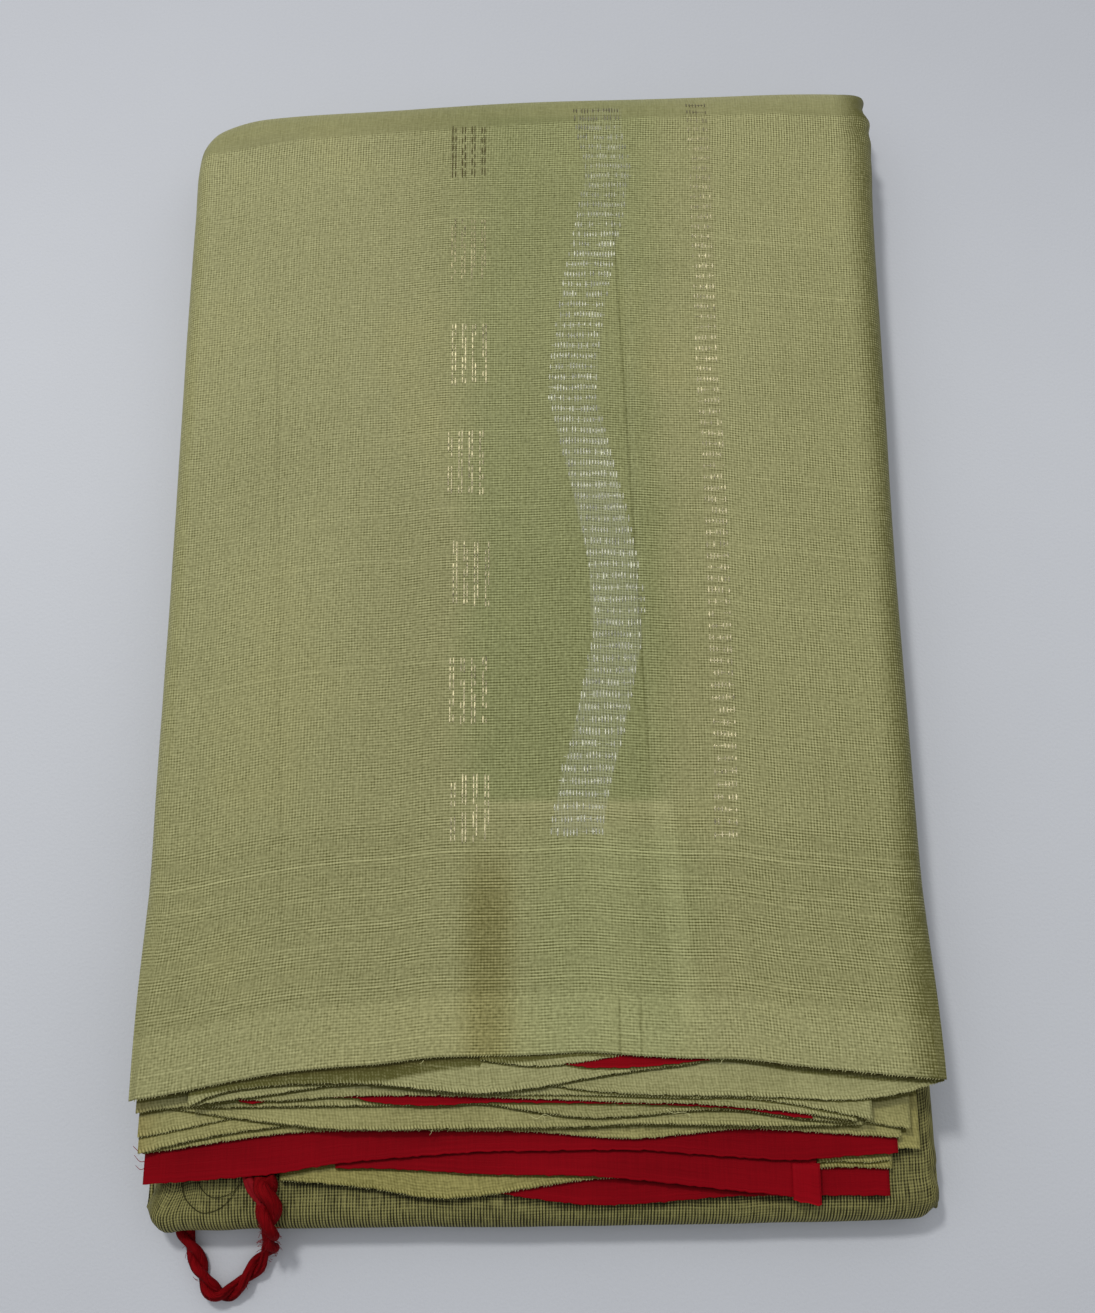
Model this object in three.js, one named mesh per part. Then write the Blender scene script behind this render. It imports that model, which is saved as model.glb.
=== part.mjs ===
// A folded saree: one long cloth laid in plies, with its free edges fanned out above the foot fold,
// and a twisted cord tied to its red end. Millimetres, +Z up, +Y from the foot fold to the head fold.
// The origin is the middle of the underside.
import * as THREE from "three";
import { mergeVertices } from "three/addons/utils/BufferGeometryUtils.js";

const { lerp, degToRad } = THREE.MathUtils;

// ---------------------------------------------------------------- driving sizes

const CLOTH = 1.0; // wall of one modelled ply
const GAP = 0.3; // air between two plies
const UNDER_SEAM = 0.9; // the same where the under panel meets the head fold's curved corners
const PACK_TOP = 29.6; // top of the pack above the surface
const FOOT_TOP = 14.0; // top of the lower plies, which the foot fold wraps
const HEAD_NOSE = 20; // how far the head fold reaches past its crest
const LEAF_BACK = -148; // where the leaves run in under the pack, along Y
const HEAD_WIDTH_AT = 200; // where along Y the head outline's width is taken
const FOOT_WIDTH_AT = -210; // where along Y the foot outline's width is taken
const TOP_ROLL = 8; // radius of the top panel's rolled-down sides
const UNDER_ROLL = 5; // radius of the under panel's rolled-up sides
const FOOT_ROLL = 3; // radius of the foot fold's rolled-down sides
const CORE_CLEAR = CLOTH + 2 * GAP; // from a wall's outside to the folded stack within it
const CORE_NOSE_CLEAR = 2.8; // the same at the two noses, where the outline turns in plan
const CORD_THICK = 5.8; // two plies of red thread twisted together
const CORD_SIDES = 10;
const CORD_STEPS = 64;

const ROLL_STEPS = 4; // columns on each rolled side
const FLAT_STEPS = 16; // columns between the rolled sides
const COLUMNS = FLAT_STEPS + 2 * ROLL_STEPS;
const TOP_ROWS = 14;
const NOSE_ROWS = 8;
const FOOT_TOP_ROWS = 4;
const UNDER_ROWS = 8;
const LEAF_COLUMNS = 26;

const OLIVE = { color: 0x9a9a68, roughness: 0.55 };
const OLIVE_DARK = { color: 0x77794f, roughness: 0.62 };
const RED = { color: 0x86060f, roughness: 0.5 };
const RED_BRIGHT = { color: 0xa3090f, roughness: 0.55 };

// The two long sides of the pack, seen from above.
const SIDES = [
  { y: -216, left: -130, right: 134.5 },
  { y: -175, left: -131.3, right: 134.2 },
  { y: -90, left: -133.1, right: 133.2 },
  { y: 0, left: -134, right: 132.5 },
  { y: 100, left: -135.6, right: 133.6 },
  { y: 160, left: -136.3, right: 134.4 },
  { y: 190, left: -136.6, right: 136 },
  { y: 216, left: -135.2, right: 136.4 },
];

// The head fold's outline, by the share of the width from the left side.
const HEAD = [
  { across: 0, y: 193.4 },
  { across: 0.04, y: 201.6 },
  { across: 0.1, y: 206.8 },
  { across: 0.3, y: 211.6 },
  { across: 0.52, y: 215.4 },
  { across: 0.75, y: 217.6 },
  { across: 0.96, y: 219 },
  { across: 1, y: 216.2 },
];

// The foot fold's outline, with its cut-in left corner.
const FOOT = [
  { across: 0, y: -208.5 },
  { across: 0.025, y: -213.5 },
  { across: 0.06, y: -216 },
  { across: 0.35, y: -216 },
  { across: 0.7, y: -215 },
  { across: 0.97, y: -213.2 },
  { across: 1, y: -210 },
];

// How far the top panel's sides turn down, from the free edge to the head.
const SIDE_TURN = [
  { y: -176, turn: 10 },
  { y: -148, turn: 25 },
  { y: -90, turn: 88 },
  { y: 216, turn: 88 },
];

// Places across the pack where each free edge is given, and the edges themselves: how far each lies
// in from FOOT_LINE. A level is counted up from the top of the foot fold.
const STATIONS = [-136, -102, -68, -34, 0, 34, 68, 102, 136];
const FOOT_LINE = -216;
const PANEL_EDGE = [41.3, 47.3, 52.2, 55.4, 56.3, 56, 54.9, 51.3, 48.4];
const LEAVES = [
  { name: "leaf_green_1", level: 10, left: -113, right: 54.5, cloth: OLIVE,
    edge: [40, 44.5, 47.3, 45.3, 46, 51.4, 54.5, 54.5, 54.5] },
  { name: "leaf_green_2", level: 9, left: -112, right: 134.5, cloth: OLIVE,
    edge: [38, 41.8, 46.4, 47.3, 47.2, 43.9, 43.3, 42.1, 48.2] },
  { name: "leaf_green_3", level: 8, left: -97.5, right: 105.5, cloth: OLIVE,
    edge: [42, 42.2, 42.8, 43.3, 42.3, 41.1, 39.6, 35.9, 34] },
  { name: "leaf_green_4", level: 7, left: -131, right: 103.5, cloth: OLIVE,
    edge: [36.9, 39.4, 39.8, 40.3, 38.2, 36.6, 38.6, 35, 33] },
  { name: "leaf_green_5", level: 6, left: -130.4, right: 108, cloth: OLIVE,
    edge: [29.5, 35.5, 32.8, 32.7, 33.1, 34.3, 33.8, 34.1, 34.1] },
  { name: "leaf_green_6", level: 5, left: -130.1, right: -79, cloth: OLIVE,
    edge: [24.8, 31, 34, 34, 34, 34, 34, 34, 34] },
  { name: "leaf_green_7", level: 5, left: 96, right: 123.9, cloth: OLIVE,
    edge: [35, 35, 35, 35, 35, 35, 35, 35, 31.5] },
  { name: "leaf_green_8", level: 4, left: -128.6, right: 120.9, cloth: OLIVE,
    edge: [24.8, 28.6, 31.8, 31.8, 31.5, 29.5, 32.5, 30.9, 29.5] },
  { name: "leaf_red_1", level: 3, left: -128.5, right: 119.9, cloth: RED,
    edge: [15.2, 16.9, 21.1, 24.1, 25.4, 25.7, 23.4, 23.7, 24.9] },
  { name: "red_tab", level: 3, left: 84.8, right: 94, cloth: RED_BRIGHT, back: -196,
    edge: [9.4, 9.4, 9.4, 9.4, 9.4, 9.4, 9.4, 9.4, 9.4] },
  { name: "leaf_red_2", level: 2, left: -65.8, right: 93, cloth: RED,
    edge: [19.8, 19.8, 19.8, 19, 17.8, 16.3, 12.8, 8, 8] },
  { name: "leaf_green_9", level: 2, left: 98, right: 127.7, cloth: OLIVE,
    edge: [26, 26, 26, 26, 26, 26, 26, 26, 26] },
  { name: "leaf_green_10", level: 1, left: -84.3, right: 118.3, cloth: OLIVE,
    edge: [16, 16, 14.9, 10.6, 13.9, 17.3, 18.5, 20.1, 19] },
  { name: "leaf_red_3", level: 0, left: -12.5, right: 117.4, cloth: RED,
    edge: [12, 12, 12, 12, 10.1, 8.6, 11, 11.1, 11] },
];

// The cord's middle line, from under the wide red leaf, over the foot fold, round a V on the surface
// and back to the foot fold.
const CORD_ROUTE = [
  [-89.3, -198.9, 17.4],
  [-88.4, -202.2, 17.4],
  [-87.5, -205.6, 17.4],
  [-87.0, -209.2, 17.4],
  [-86.8, -213.0, 16.7],
  [-86.8, -216.5, 14.5],
  [-87.0, -219.0, 11.2],
  [-87.6, -221.0, 7.6],
  [-88.8, -223.2, 4.6],
  [-90.8, -225.8, 3.3],
  [-93.3, -228.9, 3.1],
  [-96.1, -232.0, 3.1],
  [-99.0, -234.9, 3.1],
  [-102.2, -237.2, 3.1],
  [-105.5, -237.5, 3.1],
  [-108.3, -235.6, 3.1],
  [-110.3, -232.6, 3.1],
  [-112.0, -229.2, 3.1],
  [-113.7, -225.8, 3.1],
  [-115.5, -222.4, 3.1],
  [-117.2, -219.3, 3.1],
  [-118.4, -216.8, 3.1],
];

// ---------------------------------------------------------------- helpers

// A smooth line through a table's rows, read at one place in one named column.
function read(rows, along, at, column) {
  let i = 0;
  while (i < rows.length - 2 && at > rows[i + 1][along]) i++;
  const [a, b] = [rows[i], rows[i + 1]];
  const span = b[along] - a[along];
  const t = THREE.MathUtils.clamp((at - a[along]) / span, 0, 1);
  const slope = (j) => {
    const [before, after] = [rows[Math.max(j - 1, 0)], rows[Math.min(j + 1, rows.length - 1)]];
    return ((after[column] - before[column]) / (after[along] - before[along])) * span;
  };
  const [t2, t3] = [t * t, t * t * t];
  return (
    (2 * t3 - 3 * t2 + 1) * a[column] +
    (t3 - 2 * t2 + t) * slope(i) +
    (3 * t2 - 2 * t3) * b[column] +
    (t3 - t2) * slope(i + 1)
  );
}

const leftAt = (y) => read(SIDES, "y", y, "left");
const rightAt = (y) => read(SIDES, "y", y, "right");
const share = (x, y) => (x - leftAt(y)) / (rightAt(y) - leftAt(y));
const headAt = (x) => read(HEAD, "across", share(x, HEAD_WIDTH_AT), "y");
const footAt = (x) => read(FOOT, "across", share(x, FOOT_WIDTH_AT), "y");
const turnAt = (y) => degToRad(read(SIDE_TURN, "y", y, "turn"));
const FULL_TURN = turnAt(0);

function edgeAt(edge, x) {
  const rows = STATIONS.map((station, i) => ({ x: station, reach: edge[i] }));
  return FOOT_LINE + read(rows, "x", x, "reach");
}

// One column of a wall across the pack: its place, and how far the rolled side takes it down or up.
function columnAt(i, y, roll, turn) {
  const [left, right] = [leftAt(y), rightAt(y)];
  const fromSide = Math.min(i, COLUMNS - i);
  if (fromSide >= ROLL_STEPS) {
    const t = (i - ROLL_STEPS) / FLAT_STEPS;
    const inset = roll * Math.sin(turn);
    return { x: lerp(left + inset, right - inset, t), drop: 0 };
  }
  const angle = turn * (1 - fromSide / ROLL_STEPS);
  const inset = roll * (Math.sin(turn) - Math.sin(angle));
  const x = i < ROLL_STEPS ? left + inset : right - inset;
  return { x, drop: roll * (1 - Math.cos(angle)) };
}

function geometryOf(points, faces) {
  const geometry = new THREE.BufferGeometry();
  const positions = points.flatMap((p) => [p.x, p.y, p.z]);
  geometry.setAttribute("position", new THREE.Float32BufferAttribute(positions, 3));
  geometry.setIndex(faces.flat());
  return geometry;
}

// The direction of a line of points at one of them, as true at its ends as along it.
function directionAt(line, k) {
  const last = line.length - 1;
  if (k > 0 && k < last) return line[k + 1].clone().sub(line[k - 1]);
  if (last < 2) return line[1].clone().sub(line[0]);
  const [a, b, c] = k === 0 ? line : line.toReversed();
  const inward = b.clone().multiplyScalar(4).addScaledVector(a, -3).sub(c);
  return k === 0 ? inward : inward.negate();
}

// A closed wall from a grid of outer points. Columns run left to right, and rows run so that
// column x row points out of the cloth.
function wallOf(grid) {
  const rows = grid.length;
  const columns = grid[0].length;
  const outer = grid.flat();
  const inner = grid.flatMap((row, j) =>
    row.map((point, i) => {
      const column = grid.map((other) => other[i]);
      const normal = directionAt(row, i).cross(directionAt(column, j)).normalize();
      return point.clone().addScaledVector(normal, -CLOTH);
    }),
  );
  const out = (j, i) => j * columns + i;
  const into = (j, i) => outer.length + out(j, i);
  const faces = [];
  for (let j = 0; j < rows - 1; j++) {
    for (let i = 0; i < columns - 1; i++) {
      faces.push([out(j, i), out(j, i + 1), out(j + 1, i + 1)]);
      faces.push([out(j, i), out(j + 1, i + 1), out(j + 1, i)]);
      faces.push([into(j, i), into(j + 1, i + 1), into(j, i + 1)]);
      faces.push([into(j, i), into(j + 1, i), into(j + 1, i + 1)]);
    }
  }
  const rim = [];
  for (let i = 0; i < columns - 1; i++) rim.push([0, i, 0, i + 1]);
  for (let j = 0; j < rows - 1; j++) rim.push([j, columns - 1, j + 1, columns - 1]);
  for (let i = columns - 1; i > 0; i--) rim.push([rows - 1, i, rows - 1, i - 1]);
  for (let j = rows - 1; j > 0; j--) rim.push([j, 0, j - 1, 0]);
  for (const [j0, i0, j1, i1] of rim) {
    faces.push([out(j0, i0), into(j0, i0), into(j1, i1)]);
    faces.push([out(j0, i0), into(j1, i1), out(j1, i1)]);
  }
  return geometryOf([...outer, ...inner], faces);
}

// The skin between rings of equal length, each a loop seen from the foot end, going up on the right.
function skinOf(rings) {
  return rings.slice(1).flatMap((ring, r) =>
    ring.flatMap((point, k) => {
      const next = (k + 1) % ring.length;
      const before = rings[r];
      return [
        [before[k], ring[next], before[next]],
        [before[k], point, ring[next]],
      ];
    }),
  );
}

// The flat end of a body, facing the foot end or turned to the head end.
function endOf(ring, turned) {
  const outline = ring.map((point) => new THREE.Vector2(point.x, point.z));
  const faces = THREE.ShapeUtils.triangulateShape(outline, []);
  return faces.map(([a, b, c]) => (turned ? [ring[a], ring[c], ring[b]] : [ring[a], ring[b], ring[c]]));
}

function bodyOf(triangles) {
  const points = triangles.flat().flatMap((p) => [p.x, p.y, p.z]);
  const geometry = new THREE.BufferGeometry();
  geometry.setAttribute("position", new THREE.Float32BufferAttribute(points, 3));
  return mergeVertices(geometry, 1e-4);
}

// Where the head fold springs from the top panel and the under panel, for one column.
function crestAt(i) {
  return headAt(columnAt(i, HEAD_WIDTH_AT, TOP_ROLL, FULL_TURN).x) - HEAD_NOSE;
}

const steps = (count) => Array.from({ length: count + 1 }, (_, k) => k / count);
const columnList = Array.from({ length: COLUMNS + 1 }, (_, i) => i);

// ---------------------------------------------------------------- the wrapping cloth

function topPanel() {
  const rows = steps(TOP_ROWS).map((t) =>
    columnList.map((i) => {
      const near = columnAt(i, LEAF_BACK, TOP_ROLL, turnAt(LEAF_BACK)).x;
      const y = lerp(edgeAt(PANEL_EDGE, near), crestAt(i) - GAP, t);
      const { x, drop } = columnAt(i, y, TOP_ROLL, turnAt(y));
      return new THREE.Vector3(x, y, PACK_TOP - drop);
    }),
  );
  return wallOf(rows);
}

function headFold() {
  const rows = steps(NOSE_ROWS).map((t) =>
    columnList.map((i) => {
      const y = crestAt(i);
      const upper = columnAt(i, y, TOP_ROLL, turnAt(y));
      const lower = columnAt(i, y, UNDER_ROLL, turnAt(y));
      const [high, low] = [PACK_TOP - upper.drop, lower.drop];
      const angle = Math.PI * t;
      return new THREE.Vector3(
        lerp(upper.x, lower.x, t),
        y + HEAD_NOSE * Math.sin(angle),
        (high + low) / 2 + ((high - low) / 2) * Math.cos(angle),
      );
    }),
  );
  return wallOf(rows);
}

function underPanel() {
  const rows = steps(UNDER_ROWS).map((t) =>
    columnList.map((i) => {
      const foot = footAt(columnAt(i, FOOT_WIDTH_AT, UNDER_ROLL, FULL_TURN).x) + FOOT_TOP / 2 + GAP;
      const y = lerp(crestAt(i) - UNDER_SEAM, foot, t);
      const { x, drop } = columnAt(i, y, UNDER_ROLL, FULL_TURN);
      return new THREE.Vector3(x, y, drop);
    }),
  );
  return wallOf(rows);
}

function footFold() {
  const radius = FOOT_TOP / 2;
  const place = (i, part) => {
    const y = footAt(columnAt(i, FOOT_WIDTH_AT, UNDER_ROLL, FULL_TURN).x) + radius;
    const lower = columnAt(i, y, UNDER_ROLL, FULL_TURN);
    const upper = columnAt(i, y, FOOT_ROLL, FULL_TURN);
    const high = FOOT_TOP - upper.drop;
    const angle = Math.PI * part;
    return new THREE.Vector3(
      lerp(lower.x, upper.x, part),
      y - radius * Math.sin(angle),
      (high + lower.drop) / 2 - ((high - lower.drop) / 2) * Math.cos(angle),
    );
  };
  const nose = steps(NOSE_ROWS).map((t) => columnList.map((i) => place(i, t)));
  const back = steps(FOOT_TOP_ROWS).slice(1).map((t) =>
    columnList.map((i) => {
      const y = lerp(place(i, 1).y, LEAF_BACK, t);
      const { x, drop } = columnAt(i, y, FOOT_ROLL, FULL_TURN);
      return new THREE.Vector3(x, y, FOOT_TOP - drop);
    }),
  );
  return wallOf([...nose, ...back]);
}

// ---------------------------------------------------------------- the folded stack

const CORE_FLATS = 8;
const CORNER_STEPS = 3;
const LOBES = 5;
const FOOT_NOSE_RINGS = [3.1, 3.8, 5]; // in from the foot outline
const BODY_RINGS = [0, 0.1, 0.2, 0.35, 0.55, 0.78, 1]; // shares of the way from the leaves to the crest
const HEAD_NOSE_RINGS = [13, 8, 5, 3.8, 3.2]; // in from the head outline
const LOBE_SHAPE = [
  { t: 0, inset: 2.6 },
  { t: 0.2, inset: 0.8 },
  { t: 0.5, inset: 0.4 },
  { t: 0.8, inset: 0.8 },
];

// A rounded corner of the stack's side, as insets and heights: from the bottom or towards the top.
function cornerOf(count, centre, radius, turn, up) {
  return steps(count).map((t) => {
    const angle = turn * (up ? t : 1 - t);
    const rise = radius * Math.cos(angle);
    return { inset: centre.inset - radius * Math.sin(angle), z: centre.z + (up ? -rise : rise) };
  });
}

// The stack's right side at one place, going up: the lower corner, the lobes and the upper corner.
// The low front part keeps only the first lobe.
function sideOutline({ high, roll, turn, lobeTurn, kept }) {
  const lowRadius = UNDER_ROLL - CORE_CLEAR;
  const highRadius = roll - CORE_CLEAR;
  const fullRadius = TOP_ROLL - CORE_CLEAR;
  const lower = cornerOf(CORNER_STEPS, { inset: UNDER_ROLL, z: UNDER_ROLL }, lowRadius, Math.PI / 2, true);
  const centre = { inset: roll * Math.sin(turn), z: high - highRadius };
  const upper = cornerOf(CORNER_STEPS, centre, highRadius, turn, false);
  const from = UNDER_ROLL + GAP;
  const to = PACK_TOP - TOP_ROLL + fullRadius * Math.cos(lobeTurn) - GAP;
  const folds = [];
  for (let lobe = 0; lobe < kept; lobe++) {
    for (const { t, inset } of LOBE_SHAPE) folds.push({ inset, z: lerp(from, to, (lobe + t) / LOBES) });
  }
  folds.push({ inset: LOBE_SHAPE[0].inset, z: lerp(from, to, kept / LOBES) });
  return { lower: [...lower, ...folds], upper };
}

// A whole ring: place gives Y for a place across the pack, and squash flattens it towards its middle.
function stackRing(y, place, shape, squash) {
  const { lower, upper } = sideOutline(shape);
  const side = [...lower, ...upper];
  const middle = (CORE_CLEAR + shape.high) / 2;
  const [left, right] = [leftAt(y), rightAt(y)];
  const at = (x, z) => new THREE.Vector3(x, place(x), middle + (z - middle) * squash);
  const flat = (from, to, z) => steps(CORE_FLATS).slice(1, -1).map((t) => at(lerp(from, to, t), z));
  const [under, over] = [side[0].inset, side.at(-1).inset];
  return [
    ...side.map(({ inset, z }) => at(right - inset, z)),
    ...flat(right - over, left + over, shape.high),
    ...side.toReversed().map(({ inset, z }) => at(left + inset, z)),
    ...flat(left + under, right - under, CORE_CLEAR),
  ];
}

function noseSquash(offset, nose) {
  const reach = nose - CORE_NOSE_CLEAR;
  return Math.sqrt(Math.max(0, 1 - ((nose - offset) / reach) ** 2));
}

function foldedStack() {
  const front = LEAF_BACK + GAP;
  const foot = FOOT_TOP / 2;
  const whole = { high: PACK_TOP - CORE_CLEAR, roll: TOP_ROLL, kept: LOBES };
  const low = {
    high: FOOT_TOP - CORE_CLEAR,
    roll: FOOT_ROLL,
    turn: FULL_TURN,
    lobeTurn: turnAt(front),
    kept: 1,
  };
  const footRings = [...FOOT_NOSE_RINGS, foot].map((offset) => {
    const place = (x) => footAt(x) + offset;
    return stackRing(FOOT_LINE + foot, place, low, noseSquash(offset, foot));
  });
  const lowRings = [0.5, 1].map((t) => {
    const place = (x) => lerp(footAt(x) + foot, front, t);
    return stackRing(place(0), place, low, 1);
  });
  const bodyRings = BODY_RINGS.map((t) => {
    const place = (x) => lerp(front, headAt(x) - HEAD_NOSE, t);
    const [y, turn] = [place(0), turnAt(place(0))];
    return stackRing(y, place, { ...whole, turn, lobeTurn: turn }, 1);
  });
  const headRings = HEAD_NOSE_RINGS.map((offset) => {
    const place = (x) => headAt(x) - offset;
    const shape = { ...whole, turn: FULL_TURN, lobeTurn: FULL_TURN };
    return stackRing(place(0), place, shape, noseSquash(offset, HEAD_NOSE));
  });
  const [step, rise] = [lowRings.at(-1), bodyRings[0]];
  const shared = sideOutline(low).lower.length - 1;
  const lowTop = step.slice(shared, step.length - CORE_FLATS + 1 - shared);
  const highTop = rise.slice(shared, rise.length - CORE_FLATS + 1 - shared);
  return bodyOf([
    ...endOf(footRings[0], false),
    ...skinOf([...footRings, ...lowRings]),
    ...endOf([...highTop, ...lowTop.slice(1, -1).toReversed()], false),
    ...skinOf([...bodyRings, ...headRings]),
    ...endOf(headRings.at(-1), true),
  ]);
}

// ---------------------------------------------------------------- leaves and cord

function leaf({ level, left, right, edge, back = LEAF_BACK }) {
  const top = FOOT_TOP + (level + 1) * (CLOTH + GAP);
  const count = Math.max(4, Math.round((LEAF_COLUMNS * (right - left)) / 272));
  const xs = steps(count).map((t) => lerp(left, right, t));
  const free = xs.map((x) => new THREE.Vector3(x, edgeAt(edge, x), top));
  const inside = xs.map((x) => new THREE.Vector3(x, back, top));
  return wallOf([free, inside]);
}

function tasselCord() {
  const path = new THREE.CatmullRomCurve3(CORD_ROUTE.map((p) => new THREE.Vector3(...p)));
  const section = new THREE.Shape();
  for (let k = 0; k < CORD_SIDES; k++) {
    const angle = (2 * Math.PI * k) / CORD_SIDES;
    const [x, y] = [(CORD_THICK / 2) * Math.cos(angle), (CORD_THICK / 2) * Math.sin(angle)];
    if (k === 0) section.moveTo(x, y);
    else section.lineTo(x, y);
  }
  section.closePath();
  return new THREE.ExtrudeGeometry(section, { steps: CORD_STEPS, extrudePath: path });
}

// ---------------------------------------------------------------- the part

const group = new THREE.Group();
group.name = "folded_saree";

function add(name, geometry, cloth) {
  const material = new THREE.MeshStandardMaterial({ ...cloth, metalness: 0 });
  const mesh = new THREE.Mesh(geometry, material);
  mesh.name = name;
  group.add(mesh);
}

add("under_panel", underPanel(), OLIVE_DARK);
add("foot_fold", footFold(), OLIVE_DARK);
add("head_fold", headFold(), OLIVE);
add("top_panel", topPanel(), OLIVE);
add("folded_stack", foldedStack(), OLIVE_DARK);
for (const row of LEAVES) add(row.name, leaf(row), row.cloth);
add("tassel_cord", tasselCord(), RED_BRIGHT);

export default group;
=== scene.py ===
"""A folded silk saree: olive cloth laid in plies, a deep red end fanned out at the foot fold, woven
zari dashes on the top panel and a twisted red cord. Sizes in the tables are millimetres."""

import math
from collections import namedtuple

import bpy
import numpy as np
from bpy.props import FloatProperty, FloatVectorProperty, IntProperty, PointerProperty
from bpy.types import Operator, Panel, PropertyGroup
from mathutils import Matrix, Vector


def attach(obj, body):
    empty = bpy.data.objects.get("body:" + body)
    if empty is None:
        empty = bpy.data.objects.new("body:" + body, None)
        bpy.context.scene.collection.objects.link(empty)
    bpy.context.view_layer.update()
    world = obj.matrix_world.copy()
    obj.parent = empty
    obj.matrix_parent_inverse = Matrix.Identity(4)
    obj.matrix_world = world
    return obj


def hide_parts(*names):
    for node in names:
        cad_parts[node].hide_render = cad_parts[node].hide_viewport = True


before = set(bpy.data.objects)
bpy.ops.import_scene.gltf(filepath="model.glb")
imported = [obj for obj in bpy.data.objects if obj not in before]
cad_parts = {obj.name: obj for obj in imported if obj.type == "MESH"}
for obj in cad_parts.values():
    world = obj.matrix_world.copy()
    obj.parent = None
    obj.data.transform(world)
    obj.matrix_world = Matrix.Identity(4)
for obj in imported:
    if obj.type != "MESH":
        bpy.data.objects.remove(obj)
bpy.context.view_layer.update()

bl_info = {
    "name": "Folded Saree",
    "version": (1, 0, 0),
    "blender": (4, 5, 0),
    "location": "3D View > Sidebar > Saree",
    "description": "Builds a folded silk saree with its zari, free edges and cord",
    "category": "Add Mesh",
}

MM = 0.001
UV_NAME = "Cloth"
# How far each point lies in below the free edge over it; the materials paint shade under the free edges
# from it.
UNDER_NAME = "Under"

# ------------------------------------------------------------------ the pack's outline

PACK_TOP = 29.6
FOOT_TOP = 14.0
HEAD_NOSE = 20.0
LEAF_BACK = -148.0
FOOT_LINE = -216.0
HEAD_WIDTH_AT = 200.0
FOOT_WIDTH_AT = -210.0
TOP_ROLL = 8.0
UNDER_ROLL = 5.0
FOOT_ROLL = 3.0
LEVEL_STEP = 1.3

# Y, then the left and the right side of the pack.
SIDES = (
    (-216, -130, 134.5), (-175, -131.3, 134.2), (-90, -133.1, 133.2), (0, -134, 132.5),
    (100, -135.6, 133.6), (160, -136.3, 134.4), (190, -136.6, 136), (216, -135.2, 136.4),
)
# Share of the width from the left, then Y.
HEAD = (
    (0, 193.4), (0.04, 201.6), (0.1, 206.8), (0.3, 211.6), (0.52, 215.4), (0.75, 217.6), (0.96, 219),
    (1, 216.2),
)
FOOT = (
    (0, -208.5), (0.025, -213.5), (0.06, -216), (0.35, -216), (0.7, -215), (0.97, -213.2), (1, -210),
)
# Y, then how far the top panel's sides turn down, in degrees.
SIDE_TURN = ((-176, 10), (-148, 25), (-90, 88), (216, 88))

# The top panel's free edge: X, then how far it lies in from FOOT_LINE.
PANEL_EDGE = (
    (-136, 41.3), (-119, 43.9), (-102, 47.3), (-85, 50.3), (-68, 52.2), (-51, 53.4), (-34, 55.4),
    (-17, 55.9), (0, 56.3), (17, 57.1), (34, 56.0), (51, 55.2), (68, 54.9), (85, 52.9), (102, 51.3),
    (119, 49.7), (136, 48.4),
)

# ------------------------------------------------------------------ the free edges

OLIVE = "olive_silk"
RED = "red_silk"

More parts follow.
